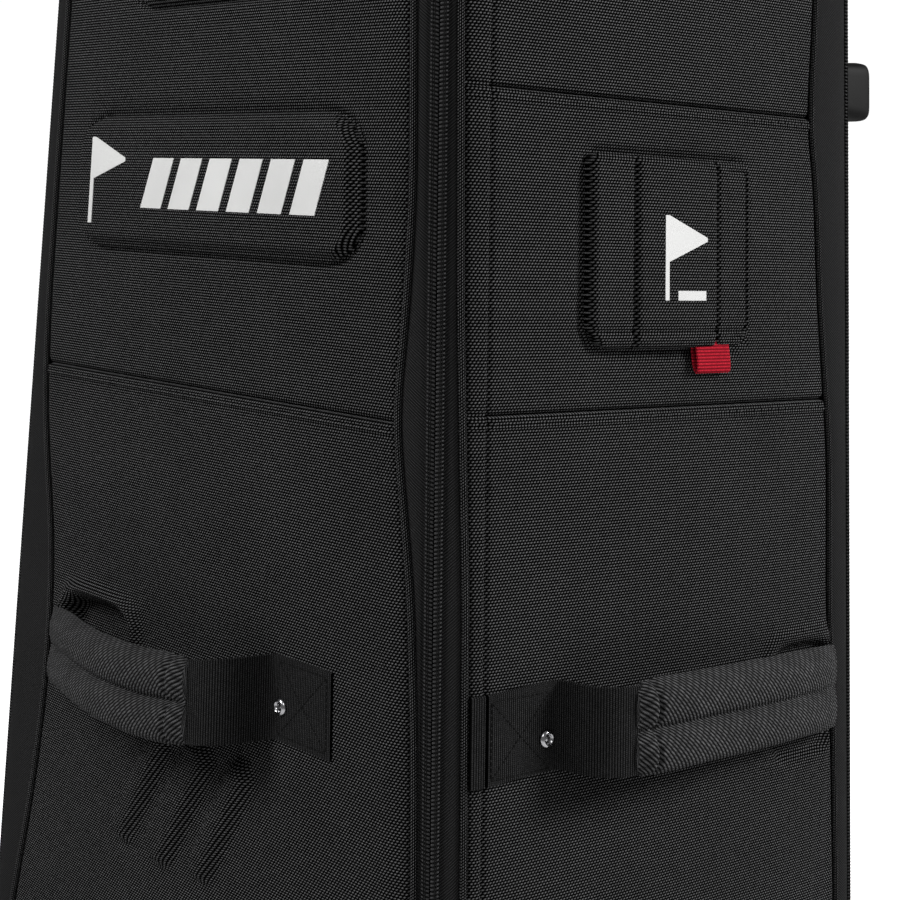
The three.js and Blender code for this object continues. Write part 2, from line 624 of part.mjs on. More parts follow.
// ---- Luggage label: clear window, padded flap over it, pull tab on the flap ----
function addLabel() {
  const middle = (FLAP.bottom + FLAP.top) / 2;
  const tall = (FLAP.top - FLAP.bottom) / 2;
  const window = roundedRect(FLAP.width / 2 - 14, tall - 14, 4);
  add("label_window", lean(standing(window, "right", FLAP.y, middle, GAP, LABEL_THICK)), CLEAR);
  const flapOut = LABEL_THICK + 3 * GAP;
  const flap = roundedRect(FLAP.width / 2, tall, FLAP.corner);
  add("label_flap", lean(standing(flap, "right", FLAP.y, middle, flapOut, FLAP.thick)), FABRIC);
  const x0 = HALF_WIDTH + flapOut + 1;
  const y0 = TAB.y - TAB.width / 2;
  const z1 = FLAP.bottom - GAP;
  add("pull_tab", lean(block(x0, x0 + TAB.thick, y0, y0 + TAB.width, z1 - TAB.drop, z1)), RED);
}

// ---- Back: two bumpers to lie on, and a tow handle that hangs from a plate ----
function addBumper(side, sign) {
  const shape = roundedRect(BUMPER.width / 2 - BUMPER.flare, BUMPER.height / 2 - BUMPER.flare, BUMPER.corner);
  const foot = new THREE.ExtrudeGeometry(shape, {
    depth: BUMPER.out - 8,
    bevelThickness: 4,
    bevelSize: BUMPER.flare,
    bevelSegments: 2,
    curveSegments: 4,
  });
  foot.rotateX(-Math.PI / 2).translate(sign * BUMPER.x, HALF_DEPTH + GAP + 4, BUMPER.z);
  add("back_bumper_" + side, lean(foot), MOULDED);
}

function addTowHandle() {
  const back = halfDepthAt(TOW.z - 20) + 1;
  const half = TOW.width / 2;
  const plate0 = back;
  const pinY = plate0 + TOW.plate + TOW.reach;
  const lug = (x) => block(x - 4, x + 4, plate0, pinY + 7, TOW.z - 7, TOW.z + 7);
  const pinHole = (x) => {
    const hole = new THREE.CylinderGeometry(3.3, 3.3, 10, 12).rotateZ(Math.PI / 2);
    return hole.translate(x, pinY, TOW.z);
  };
  const plate = block(-half - 8, half + 8, plate0, plate0 + TOW.plate, TOW.z - 16, TOW.z + 16);
  const lugs = [-half + 14, half - 14];
  add("tow_bracket", cut(join(plate, ...lugs.map(lug)), ...lugs.map(pinHole)), MOULDED);

  const pin = new THREE.CylinderGeometry(3, 3, TOW.width - 6, 12).rotateZ(Math.PI / 2).translate(0, pinY, TOW.z);
  const legs = [-half + 4, half - 4].map((x) => block(x - 4, x + 4, pinY - 4, pinY + 4, TOW.z - TOW.drop, TOW.z + 4));
  const core = new THREE.CylinderGeometry(5, 5, TOW.width - 6, 12).rotateZ(Math.PI / 2);
  core.translate(0, pinY, TOW.z - TOW.drop + 5);
  add("tow_bail", join(pin, ...legs, core), MOULDED);
  const sleeve = [
    [5 + GAP, -half + 10],
    [TOW.grip - 2, -half + 10],
    [TOW.grip, -half + 22],
    [TOW.grip, half - 22],
    [TOW.grip - 2, half - 10],
    [5 + GAP, half - 10],
    [5 + GAP, -half + 10],
  ].map(([r, z]) => new THREE.Vector2(r, z));
  const grip = new THREE.LatheGeometry(sleeve, 20).rotateZ(-Math.PI / 2);
  add("tow_grip", grip.translate(0, pinY, TOW.z - TOW.drop + 5), RUBBER);
}

// ---- Assembly ----
addBase();
addWheel("right", 1);
addWheel("left", -1);
addWalls();
addHood();
addMainZip();
addPocketZip("right", BACK_RIGHT, -1);
addPocketZip("left", BACK_LEFT, 1);
const ZIP_CORNERS = {
  main_right: 0,
  main_left: FRONT_LEFT,
  pocket_right: BACK_RIGHT,
  pocket_left: BACK_LEFT,
};
for (const [name, middle] of Object.entries(ZIP_CORNERS)) {
  addZipFoot("zip_foot_" + name, middle);
  addSlider("slider_" + name, middle);
  addPull("zip_pull_" + name, middle);
}
addLid();
const COVER_EDGE = TAPE_WIDTH + SEAM_GAP;
addCover("right", COVER_EDGE, BACK_RIGHT - TAPE_WIDTH - GAP);
addCover("left", BACK_LEFT + TAPE_WIDTH + GAP, FRONT_LEFT - COVER_EDGE);
addHandle("front", FRONT_HANDLE);
addHandle("right", SIDE_HANDLE);
addHandle("left", SIDE_HANDLE);
addLabel();
addBumper("right", 1);
addBumper("left", -1);
addTowHandle();

export default travelCase;
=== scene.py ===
# %% [markdown]
# A golf travel case, upright on its moulded base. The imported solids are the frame: every piece here
# takes its place from the same outline and the same lean, so that nothing has to be fitted by eye.
# %% Load the frame
import json
import math

import bpy
import numpy as np
from mathutils import Matrix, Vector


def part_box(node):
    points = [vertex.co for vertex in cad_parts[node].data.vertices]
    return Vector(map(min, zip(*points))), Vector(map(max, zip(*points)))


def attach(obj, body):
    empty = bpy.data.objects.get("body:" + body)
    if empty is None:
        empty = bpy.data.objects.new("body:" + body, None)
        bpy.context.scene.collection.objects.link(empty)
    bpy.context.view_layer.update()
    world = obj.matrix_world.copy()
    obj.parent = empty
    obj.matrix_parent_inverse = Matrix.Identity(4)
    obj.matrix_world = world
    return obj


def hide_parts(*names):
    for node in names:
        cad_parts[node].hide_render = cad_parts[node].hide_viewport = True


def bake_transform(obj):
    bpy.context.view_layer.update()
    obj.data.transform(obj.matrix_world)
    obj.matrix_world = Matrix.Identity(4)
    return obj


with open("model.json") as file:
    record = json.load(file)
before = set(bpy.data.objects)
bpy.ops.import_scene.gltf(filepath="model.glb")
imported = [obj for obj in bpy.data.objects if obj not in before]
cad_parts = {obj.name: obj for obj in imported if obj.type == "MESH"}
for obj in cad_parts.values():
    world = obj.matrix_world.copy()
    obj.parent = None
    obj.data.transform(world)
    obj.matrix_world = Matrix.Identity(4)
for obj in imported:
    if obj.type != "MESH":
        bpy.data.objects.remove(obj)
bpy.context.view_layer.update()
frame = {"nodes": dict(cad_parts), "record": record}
scene = bpy.context.scene

# %% [markdown]
# The camera comes first. It stands a metre and a half away at chest height, off the right front
# corner, a little tilted and rolled, with a short telephoto lens. A camera can be aimed with a
# constraint, but a written-out rotation shows what azimuth, tilt and roll each do.
# %% Camera
AZIMUTH, TILT, ROLL = (math.radians(a) for a in (48.87, 7.17, 2.446))
across = np.array([math.cos(AZIMUTH), math.sin(AZIMUTH), 0])
back = np.array([math.sin(AZIMUTH) * math.cos(TILT), -math.cos(AZIMUTH) * math.cos(TILT), math.sin(TILT)])
upright = np.cross(back, across)
camera = bpy.data.objects.new("camera", bpy.data.cameras.new("camera"))
scene.collection.objects.link(camera)
scene.camera = camera
camera.data.lens, camera.data.sensor_width = 74.54, 36
camera.data.clip_start, camera.data.clip_end = 0.05, 60
turned = across * math.cos(ROLL) + upright * math.sin(ROLL)
top = upright * math.cos(ROLL) - across * math.sin(ROLL)
pose = np.eye(4)
pose[:3, 0], pose[:3, 1], pose[:3, 2], pose[:3, 3] = turned, top, back, (0.8723, -0.7404, 0.8251)
camera.matrix_world = Matrix(pose.tolist())
print("camera at", np.round(pose[:3, 3], 3))

# %% [markdown]
# The case is a rounded rectangle in plan that leans in towards the top. One function gives a point
# from three numbers: how far round the outline, how high, and how far out of the wall. Panels, zips,
# seams, straps and stitches are all drawn with it, so they lie on each other exactly.
# %% The leaning outline, in millimetres
PLAN_Z, HALF_W, HALF_D, CORNER = 726.0, 206.0, 170.0, 35.0
LEAN_W, LEAN_D = 0.072, 0.022
RIGID_W, RIGID_D = HALF_W - CORNER - 6, HALF_D - CORNER - 6
ARC = CORNER * math.pi / 4
SIDE_RUN, FRONT_RUN = 2 * (HALF_D - CORNER), 2 * (HALF_W - CORNER)
BR = 2 * ARC + SIDE_RUN
BL = BR + 2 * ARC + FRONT_RUN
FL = BL + 2 * ARC + SIDE_RUN
LAP = FL + 2 * ARC + FRONT_RUN
CORNER_AT = np.array([0, BR, BL, FL])
CORNER_X = np.array([1, 1, -1, -1]) * (HALF_W - CORNER)
CORNER_Y = np.array([-1, 1, 1, -1]) * (HALF_D - CORNER)


def lean(p):
    """Each wall moves in by its lean for each millimetre above PLAN_Z; corners move unbent."""
    below = PLAN_Z - p[..., 2]
    q = p.copy()
    q[..., 0] += np.clip(p[..., 0] / RIGID_W, -1, 1) * LEAN_W * below
    q[..., 1] += np.clip(p[..., 1] / RIGID_D, -1, 1) * LEAN_D * below
    return q


def on(s, z, out):
    """The point s round the outline from the front right corner, z up, out of the wall: corner
    centre + (CORNER + out) times the normal + what is left of s along the straight."""
    s, z, out = np.broadcast_arrays(np.asarray(s, float), np.asarray(z, float), np.asarray(out, float))
    s = np.mod(s + ARC, LAP) - ARC
    k = np.searchsorted(CORNER_AT - ARC, s + 1e-9, side="right") - 1
    k = np.clip(k, 0, 3)
    turn = np.minimum(s - CORNER_AT[k], ARC) / CORNER - math.pi / 4 + k * math.pi / 2
    along = np.maximum(s - CORNER_AT[k] - ARC, 0)
    nx, ny = np.cos(turn), np.sin(turn)
    x = CORNER_X[k] + (CORNER + out) * nx - along * ny
    y = CORNER_Y[k] + (CORNER + out) * ny + along * nx
    return lean(np.stack([x, y, z], -1))


def front_s(x):
    """Distance round the outline of a place x on the front."""
    return FL + ARC + x + HALF_W - CORNER


def right_s(y):
    """The same for a place y on the right-hand side."""
    return ARC + y + HALF_D - CORNER


def left_s(y):
    """The same for a place y on the left-hand side."""
    return BL + ARC + HALF_D - CORNER - y


print("outline length", round(LAP), "mm; corners at", np.round(CORNER_AT))

# %% [markdown]
# Meshes are written as whole arrays. A slab is two grids of points, outer and inner, closed round
# their rim; a tube is a stack of rings with a cap at each end. Both come out of one grid helper.
# %% Mesh helpers
def quads(n, m, wrap=False):
    """Corner numbers of the faces of an n by m grid; wrap joins the last column to the first."""
    i, j = np.meshgrid(np.arange(n - 1), np.arange(m if wrap else m - 1), indexing="ij")
    a, b = i * m + j, i * m + (j + 1) % m
    return np.stack([a, b, b + m, a + m], -1).reshape(-1, 4), (i.ravel(), j.ravel())


def slab(outer, inner, uv):
    """A closed sheet: outer grid, inner grid turned round, and a strip along each of four edges."""
    n, m = outer.shape[:2]
    faces, _ = quads(n, m)
    size = n * m
    index = np.arange(size).reshape(n, m)
    edges = [index[0], index[:, -1], index[-1][::-1], index[:, 0][::-1]]
    rims = [np.stack([e[1:], e[:-1], e[:-1] + size, e[1:] + size], -1) for e in edges]
    every = np.concatenate([faces, faces[:, ::-1] + size, *rims])
    points = np.concatenate([outer.reshape(-1, 3), inner.reshape(-1, 3)])
    return points, every, np.tile(uv.reshape(-1, 2), (2, 1))[every]


def sheet(place, a, z, outer, inner):
    """A slab over a grid (a, z) of a wall, from one height out of it to another."""
    return slab(place(a, z, outer), place(a, z, inner), np.stack([a, z], -1))


def tube(rings, uv):
    """A stack of closed rings, n by k points; each end closes on its middle. uv is n by k + 1."""
    n, k = rings.shape[:2]
    faces, (i, j) = quads(n, k, wrap=True)
    corner_uv = np.stack([uv[i, j], uv[i, j + 1], uv[i + 1, j + 1], uv[i + 1, j]], 1)
    middle = np.stack([rings[0].mean(0), rings[-1].mean(0)])
    first, last = n * k, n * k + 1
    a = np.arange(k)
    b = (a + 1) % k
    low = np.stack([b, a, np.full(k, first), np.full(k, first)], -1)
    high = np.stack([a, b, np.full(k, last), np.full(k, last)], -1) + np.array([1, 1, 0, 0]) * (n - 1) * k
    cap_uv = np.concatenate([uv[0, a][:, None].repeat(4, 1), uv[-1, a][:, None].repeat(4, 1)])
    return (
        np.concatenate([rings.reshape(-1, 3), middle]),
        np.concatenate([faces, low, high]),
        np.concatenate([corner_uv, cap_uv]),
    )


def repeated(rings):
    """Many small tubes at once: rings is count by n by k points."""
    count, n, k = rings.shape[:3]
    uv = np.zeros((n, k + 1, 2))
    points, faces, face_uv = tube(rings[0], uv)
    middles = np.stack([rings[:, 0].mean(1), rings[:, -1].mean(1)], 1)
    every = np.concatenate([rings.reshape(count, n * k, 3), middles], 1)
    shift = (np.arange(count) * every.shape[1])[:, None, None]
    return every.reshape(-1, 3), (faces[None] + shift).reshape(-1, 4), np.tile(face_uv, (count, 1, 1))


def outward(points, faces):
    """True if the faces' signed volume, a sum of corner triple products, is positive."""
    a, b, c, d = (points[faces[:, i]] for i in range(4))
    return (np.cross(a, b) * c).sum() + (np.cross(a, c) * d).sum() > 0


def piece(name, parts, material, body=None, stands_for=(), sharp=45):
    """Puts closed parts (points in mm, faces, uv in mm) into one object and hangs it on its body."""
    points, loops, starts, uvs = [], [], [], []
    base = total = 0
    for p, f, uv in parts:
        f, uv = (f, uv) if outward(p, f) else (f[:, ::-1], uv[:, ::-1])
        real = f[:, 2] != f[:, 3]
        twin = f[:, 0] == f[:, 1]
        keep = np.stack([np.ones(len(f), bool), ~twin, np.ones(len(f), bool), real], 1)
        counts = keep.sum(1)
        loops.append((f + base)[keep])
        uvs.append(uv[keep])
        starts.append(np.cumsum(counts) - counts + total)
        points.append(p)
        base += len(p)
        total += counts.sum()
    points, loops = np.concatenate(points) / 1000, np.concatenate(loops)
    starts, uvs = np.concatenate(starts), np.concatenate(uvs) / 1000
    mesh = bpy.data.meshes.new(name)
    mesh.vertices.add(len(points))
    mesh.vertices.foreach_set("co", points.astype(np.float32).ravel())
    mesh.loops.add(len(loops))
    mesh.loops.foreach_set("vertex_index", loops.astype(np.int32))
    mesh.polygons.add(len(starts))
    mesh.polygons.foreach_set("loop_start", starts.astype(np.int32))
    mesh.update(calc_edges=True)
    mesh.validate()
    layer = mesh.uv_layers.new(name="cloth")
    layer.data.foreach_set("uv", uvs.astype(np.float32).ravel())
    mesh.shade_smooth()
    mesh.set_sharp_from_angle(angle=math.radians(sharp))
    mesh.materials.append(material)
    made = bpy.data.objects.new(name, mesh)
    scene.collection.objects.link(made)
    if body:
        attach(made, body)
    if stands_for:
        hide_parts(*stands_for)
    return made


def soft_step(x):
    """0 below 0, 1 above 1, and 3x^2 - 2x^3 between."""
    x = np.clip(x, 0, 1)
    return x * x * (3 - 2 * x)


def dip(x, width):
    """A groove: exp(-(x / width)^2)."""
    return np.exp(-((x / width) ** 2))

# %% [markdown]
# Materials are built from node groups, each made once. The first is the cloth: staggered rows of
# short floats, as in the coarse nylon of travel bags. A brick texture could lay out the rows, but
# its cells have square corners; squaring the distance from each float's middle rounds them off.
# %% Node helpers
def group(name, inputs, outputs):
    """A new shader node group with float or vector inputs {name: default} and outputs."""
    made = bpy.data.node_groups.new(name, "ShaderNodeTree")
    for label, value in inputs.items():
        kind = "NodeSocketVector" if isinstance(value, tuple) else "NodeSocketFloat"
        made.interface.new_socket(label, in_out="INPUT", socket_type=kind).default_value = value
    for label in outputs:
        made.interface.new_socket(label, in_out="OUTPUT", socket_type="NodeSocketFloat")
    return made, made.nodes.new("NodeGroupInput").outputs, made.nodes.new("NodeGroupOutput").inputs


def calc(tree, operation, *values):
    """A Math node's result; each value is a number or another node's output."""
    node = tree.nodes.new("ShaderNodeMath")
    node.operation = operation
    for socket, value in zip(node.inputs, values):
        if isinstance(value, (int, float)):
            socket.default_value = value
        else:
            tree.links.new(value, socket)
    return node.outputs[0]


def parts_of(tree, vector):
    """X and Y of a vector."""
    node = tree.nodes.new("ShaderNodeSeparateXYZ")
    tree.links.new(vector, node.inputs[0])
    return node.outputs[0], node.outputs[1]


def joined(tree, x, y, z=0.0):
    """A vector from its parts."""
    node = tree.nodes.new("ShaderNodeCombineXYZ")
    for socket, value in zip(node.inputs, (x, y, z)):
        if isinstance(value, (int, float)):
            socket.default_value = value
        else:
            tree.links.new(value, socket)
    return node.outputs[0]


# %% The cloth group
def make_weave():
    """Rows of floats, each row set half a float along from the last. Height falls from the middle
    of a float as 1 - across^2 - along^2. The second output, Height to the power 1.8, is the mask for the
    painted highlight on each float and the painted shade in the gaps, and Tone gives each float its own
    number."""
    inputs = {"Cloth": (0.0, 0.0, 0.0), "Row": 1.5, "Float": 2.1, "Slant": 0.0}
    tree, given, out = group("weave", inputs, ("Height", "Float_highlight", "Tone"))
    x, y = parts_of(tree, given["Cloth"])
    x, y = calc(tree, "MULTIPLY", x, 1000.0), calc(tree, "MULTIPLY", y, 1000.0)
    row = calc(tree, "DIVIDE", calc(tree, "MULTIPLY_ADD", x, given["Slant"], y), given["Row"])
    number = calc(tree, "FLOOR", row)
    offset = calc(tree, "MULTIPLY", calc(tree, "FLOORED_MODULO", number, 2.0), 0.5)
    col = calc(tree, "ADD", calc(tree, "DIVIDE", x, given["Float"]), offset)
    fx = calc(tree, "SUBTRACT", calc(tree, "FRACT", col), 0.5)
    fy = calc(tree, "SUBTRACT", calc(tree, "FRACT", row), 0.5)
    tilt = calc(tree, "MULTIPLY_ADD", fx, -0.3, fy)
    square = calc(tree, "MULTIPLY", calc(tree, "MULTIPLY", fx, fx), 4.6)
    square = calc(tree, "MULTIPLY_ADD", calc(tree, "MULTIPLY", tilt, tilt), 7.0, square)
    height = calc(tree, "MAXIMUM", calc(tree, "SUBTRACT", 1.0, square), 0.0)
    noise = tree.nodes.new("ShaderNodeTexWhiteNoise")
    noise.noise_dimensions = "2D"
    tree.links.new(joined(tree, calc(tree, "FLOOR", col), number), noise.inputs["Vector"])
    tree.links.new(height, out["Height"])
    tree.links.new(calc(tree, "POWER", height, 1.8), out["Float_highlight"])
    tree.links.new(noise.outputs["Value"], out["Tone"])
    return tree


WEAVE = make_weave()


# %% The rib group
def make_ribs():
    """Ribs across a strap: Height is a rounded ridge |sin|, cut along by fine picks."""
    inputs = {"Cloth": (0.0, 0.0, 0.0), "Pitch": 1.4, "Pick": 1.1, "Slant": 0.0}
    tree, given, out = group("ribs", inputs, ("Height", "Tone"))
    x, y = parts_of(tree, given["Cloth"])
    x, y = calc(tree, "MULTIPLY", x, 1000.0), calc(tree, "MULTIPLY", y, 1000.0)
    rib = calc(tree, "DIVIDE", calc(tree, "MULTIPLY_ADD", y, given["Slant"], x), given["Pitch"])
    ridge = calc(tree, "ABSOLUTE", calc(tree, "SINE", calc(tree, "MULTIPLY", rib, math.pi)))
    ridge = calc(tree, "POWER", ridge, 2.2)
    set_back = calc(tree, "MULTIPLY", calc(tree, "FLOOR", rib), 0.5)
    pick = calc(tree, "ADD", calc(tree, "DIVIDE", y, given["Pick"]), set_back)
    cut = calc(tree, "ABSOLUTE", calc(tree, "SINE", calc(tree, "MULTIPLY", pick, math.pi)))
    tree.links.new(calc(tree, "MULTIPLY", ridge, calc(tree, "MULTIPLY_ADD", cut, 0.7, 0.3)), out["Height"])
    noise = tree.nodes.new("ShaderNodeTexWhiteNoise")
    noise.noise_dimensions = "2D"
    tree.links.new(joined(tree, calc(tree, "FLOOR", rib), calc(tree, "FLOOR", pick)), noise.inputs["Vector"])
    tree.links.new(noise.outputs["Value"], out["Tone"])
    return tree


RIBS = make_ribs()


# %% The wear group
def make_wear():
    """Slow change over a surface: Patch is soft noise 60 mm across, Grain is fine noise."""
    inputs = {"Place": (0.0, 0.0, 0.0), "Size": 60.0, "Fine": 0.6}
    tree, given, out = group("wear", inputs, ("Patch", "Grain"))
    for label, size in (("Patch", "Size"), ("Grain", "Fine")):
        noise = tree.nodes.new("ShaderNodeTexNoise")
        noise.inputs["Detail"].default_value = 2.0
        tree.links.new(given["Place"], noise.inputs["Vector"])
        tree.links.new(calc(tree, "DIVIDE", 1000.0, given[size]), noise.inputs["Scale"])
        tree.links.new(noise.outputs["Fac"], out[label])
    return tree


WEAR = make_wear()
print("node groups", [g.name for g in bpy.data.node_groups])


# %% [markdown]
# Every finish is one Principled shader. The pattern sets colour, roughness and bump together, so the
# high threads are shinier than the gaps, and the cloths paint them lighter, a painted highlight, and the
# gaps darker, a painted shade. Numbers that don't vary are set on the shader itself.
# %% Material helpers
def finish(name, roughness=0.7, specular=0.25, sheen=0.0, metallic=0.0):
    """An empty material and its shader."""
    made = bpy.data.materials.new(name)
    made.use_nodes = True
    shader = made.node_tree.nodes["Principled BSDF"]
    shader.inputs["Roughness"].default_value = roughness
    shader.inputs["Specular IOR Level"].default_value = specular
    shader.inputs["Sheen Weight"].default_value = sheen
    shader.inputs["Sheen Roughness"].default_value = 0.4
    shader.inputs["Metallic"].default_value = metallic
    return made, made.node_tree, shader


def use(tree, node_group, **values):
    """A group node with its inputs set."""
    node = tree.nodes.new("ShaderNodeGroup")
    node.node_tree = node_group
    for label, value in values.items():
        if isinstance(value, (int, float)):
            node.inputs[label].default_value = value
        else:
            tree.links.new(value, node.inputs[label])
    return node.outputs


def cloth_place(tree):
    """The piece's own cloth coordinates, in metres along the threads."""
    node = tree.nodes.new("ShaderNodeUVMap")
    node.uv_map = "cloth"
    return node.outputs[0]


def object_place(tree):
    """Object coordinates, in metres."""
    return tree.nodes.new("ShaderNodeTexCoord").outputs["Object"]


def ramp(tree, value, low, high):
    """A colour between low and high."""
    node = tree.nodes.new("ShaderNodeMix")
    node.data_type = "RGBA"
    tree.links.new(value, node.inputs["Factor"])
    node.inputs["A"].default_value = (*low, 1)
    node.inputs["B"].default_value = (*high, 1)
    return node.outputs["Result"]


def bump(tree, shader, height, distance, strength=1.0):
    """Bump of that many metres."""
    node = tree.nodes.new("ShaderNodeBump")
    node.inputs["Distance"].default_value = distance
    node.inputs["Strength"].default_value = strength
    tree.links.new(height, node.inputs["Height"])
    tree.links.new(node.outputs[0], shader.inputs["Normal"])


def woven(name, dark, light, row=1.5, long=2.1, slant=0.0, depth=0.00035, roughness=0.55, specular=0.02):
    """Cloth from the weave group: gaps painted dark as shade, floats painted light as a highlight, each
    float a little different.
    """
    made, tree, shader = finish(name, roughness, specular)
    place = cloth_place(tree)
    cloth = use(tree, WEAVE, Cloth=place, Row=row, Float=long, Slant=slant)
    wear = use(tree, WEAR, Place=object_place(tree))
    tone = calc(tree, "MULTIPLY_ADD", cloth["Tone"], 0.25, 0.75)
    tone = calc(tree, "MULTIPLY", tone, calc(tree, "MULTIPLY_ADD", wear["Patch"], 0.3, 0.85))
    # Painted highlight and shade: the colour runs from the dark gaps to the light float tops with each
    # float's height.
    highlight_amount = calc(tree, "MULTIPLY", cloth["Float_highlight"], tone)
    tree.links.new(ramp(tree, highlight_amount, dark, light), shader.inputs["Base Color"])
    rough = calc(tree, "MULTIPLY_ADD", cloth["Float_highlight"], -0.3, 0.95)
    tree.links.new(rough, shader.inputs["Roughness"])
    bump(tree, shader, cloth["Height"], depth)
    return made


def ribbed(name, dark, light, pitch=1.4, pick=1.1, slant=0.0, depth=0.0003, specular=0.05):
    """Webbing or ribbon from the rib group, with a painted highlight on the rib tops and painted shade
    between the ribs.
    """
    made, tree, shader = finish(name, 0.7, specular)
    ribs = use(tree, RIBS, Cloth=cloth_place(tree), Pitch=pitch, Pick=pick, Slant=slant)
    wear = use(tree, WEAR, Place=object_place(tree), Size=25.0)
    tone = calc(tree, "MULTIPLY_ADD", ribs["Tone"], 0.3, 0.7)
    tone = calc(tree, "MULTIPLY", tone, calc(tree, "MULTIPLY_ADD", wear["Patch"], 0.5, 0.75))
    # Painted highlight and shade: the colour runs from dark between the ribs to light on their tops with the
    # rib height.
    highlight_amount = calc(tree, "MULTIPLY", ribs["Height"], tone)
    tree.links.new(ramp(tree, highlight_amount, dark, light), shader.inputs["Base Color"])
    tree.links.new(calc(tree, "MULTIPLY_ADD", ribs["Height"], -0.25, 0.9), shader.inputs["Roughness"])
    bump(tree, shader, ribs["Height"], depth)
    return made


def moulded(name, colour, roughness, grain=0.00008, fine=0.7, specular=0.5, metallic=0.0, spread=0.1):
    """Plastic, rubber or metal: fine grain in the bump, patches of slightly other gloss."""
    made, tree, shader = finish(name, roughness, specular, metallic=metallic)
    wear = use(tree, WEAR, Place=object_place(tree), Fine=fine)
    darker = tuple(c * 0.75 for c in colour)
    tree.links.new(ramp(tree, wear["Patch"], darker, colour), shader.inputs["Base Color"])
    rough = calc(tree, "MULTIPLY_ADD", wear["Patch"], spread, roughness - spread / 2)
    tree.links.new(rough, shader.inputs["Roughness"])
    bump(tree, shader, wear["Grain"], grain)
    return made


# %% Finishes
# The two near-black colours here, and the first colour of each woven and ribbed pair, are painted shade in
# the gaps between floats and ribs; the second colour of each pair is the painted highlight on the floats and
# rib tops.
SHADE_BLACK, GAP_SHADE = (0.0005, 0.0005, 0.0005), (0.009, 0.009, 0.009)
SHELL = woven("shell_weave", SHADE_BLACK, (0.19, 0.19, 0.193))
HEM = woven("hem_weave", SHADE_BLACK, (0.17, 0.17, 0.173), row=1.1, long=1.5, depth=0.0003)
GRIP = ribbed("grip_cloth", SHADE_BLACK, (0.15, 0.15, 0.153), pitch=3.0, pick=3.2, slant=1.0, depth=0.0007)
TAPE = woven("tape_weave", GAP_SHADE, (0.075, 0.075, 0.077), row=0.8, long=1.1, slant=0.6, depth=0.00008)
WEB = ribbed("webbing", SHADE_BLACK, (0.052, 0.052, 0.053), pitch=1.35, pick=1.0)
RED = ribbed("red_ribbon", (0.16, 0.004, 0.01), (0.9, 0.03, 0.06), pitch=1.7, pick=0.8)
LINING = woven("lining", (0.03, 0.031, 0.034), (0.075, 0.078, 0.085), row=0.8, long=1.0, depth=0.0001)
TEETH = moulded("coil_teeth", (0.06, 0.06, 0.061), 0.5, grain=0.00001, specular=0.1)
THREAD = moulded("black_thread", (0.008, 0.008, 0.008), 0.7, fine=0.25, specular=0.08)
PLASTIC = moulded("moulded_plastic", (0.014, 0.014, 0.015), 0.42, spread=0.16)
RUBBER = moulded("black_rubber", (0.014, 0.014, 0.014), 0.75, specular=0.3)
BUMPER = moulded("bumper_rubber", (0.007, 0.007, 0.007), 0.6, specular=0.12)
STEEL = moulded("plated_steel", (0.62, 0.62, 0.64), 0.18, grain=0.00001, metallic=1.0)
GUNMETAL = moulded("black_metal", (0.03, 0.03, 0.032), 0.3, grain=0.00001, metallic=0.6)
WHITE = moulded("white_print", (0.92, 0.92, 0.91), 0.6, fine=0.4)
VINYL = moulded("clear_vinyl", (0.45, 0.47, 0.48), 0.12, grain=0.00001, spread=0.05)
print("finishes", len(bpy.data.materials))

# %% [markdown]
# Floor and light. The floor is a wide pale sheet. The camera sees floor and sky as studio white, by
# the Light Path node's Is Camera Ray, while the case is lit by a dimmer sky and two big soft lamps:
# one behind on the right, which rakes across the side, and one in front on the left, high up.
# %% Floor, world and lamps
FLOOR_REACH, FLOOR_TOP, FLOOR_UNDER = 9000.0, -0.5, -8.0
wide, deep = np.meshgrid([-FLOOR_REACH, FLOOR_REACH], [-FLOOR_REACH, FLOOR_REACH], indexing="ij")
floor_part = sheet(lambda x, y, z: np.stack([x, y, z], -1), wide, deep,
                   np.full_like(wide, FLOOR_TOP), np.full_like(wide, FLOOR_UNDER))
PALE, floor_tree, floor_shader = finish("pale_floor", 0.8, 0.1)
floor_shader.inputs["Base Color"].default_value = (0.8, 0.8, 0.8, 1)
# Painted glow on the floor, seen only by the camera: under half strength at the case, it grows with distance
# to full white far off, so the floor round the case is left darker.
floor_shader.inputs["Emission Color"].default_value = (1, 1, 1, 1)
seen = floor_tree.nodes.new("ShaderNodeLightPath").outputs["Is Camera Ray"]
away = floor_tree.nodes.new("ShaderNodeVectorMath")
away.operation = "LENGTH"
floor_tree.links.new(object_place(floor_tree), away.inputs[0])
pale = calc(floor_tree, "MINIMUM", calc(floor_tree, "MULTIPLY_ADD", away.outputs["Value"], 0.35, 0.45), 1.0)
floor_tree.links.new(calc(floor_tree, "MULTIPLY", seen, pale), floor_shader.inputs["Emission Strength"])
floor = piece("floor", [floor_part], PALE)
world = bpy.data.worlds.new("studio")
scene.world = world
world.use_nodes = True
sky = world.node_tree.nodes["Background"]
sky.inputs["Color"].default_value = (1, 1, 1, 1)
seen = world.node_tree.nodes.new("ShaderNodeLightPath").outputs["Is Camera Ray"]
strength = calc(world.node_tree, "MULTIPLY_ADD", seen, 0.9, 0.15)
world.node_tree.links.new(strength, sky.inputs["Strength"])
scene.view_settings.view_transform = "Standard"


def lamp(name, where, aim, size, power):
    """A square soft lamp at a place, turned to face another."""
    data = bpy.data.lights.new(name, "AREA")
    data.size, data.energy = size, power
    made = bpy.data.objects.new(name, data)
    scene.collection.objects.link(made)
    away = np.array(where, float) - np.array(aim, float)
    away /= np.linalg.norm(away)
    side = np.cross((0, 0, 1), away)
    side /= np.linalg.norm(side)
    stand = np.eye(4)
    stand[:3, 0], stand[:3, 1], stand[:3, 2], stand[:3, 3] = side, np.cross(away, side), away, where
    made.matrix_world = Matrix(stand.tolist())
    return made


lamp("side", (1.9, 1.7, 2.0), (0, 0, 0.7), 0.9, 68)
lamp("front", (-0.6, -2.1, 2.3), (0, 0, 0.7), 1.0, 42)
lamp("fill", (1.3, -1.3, 2.2), (0, 0, 0.7), 0.8, 7)

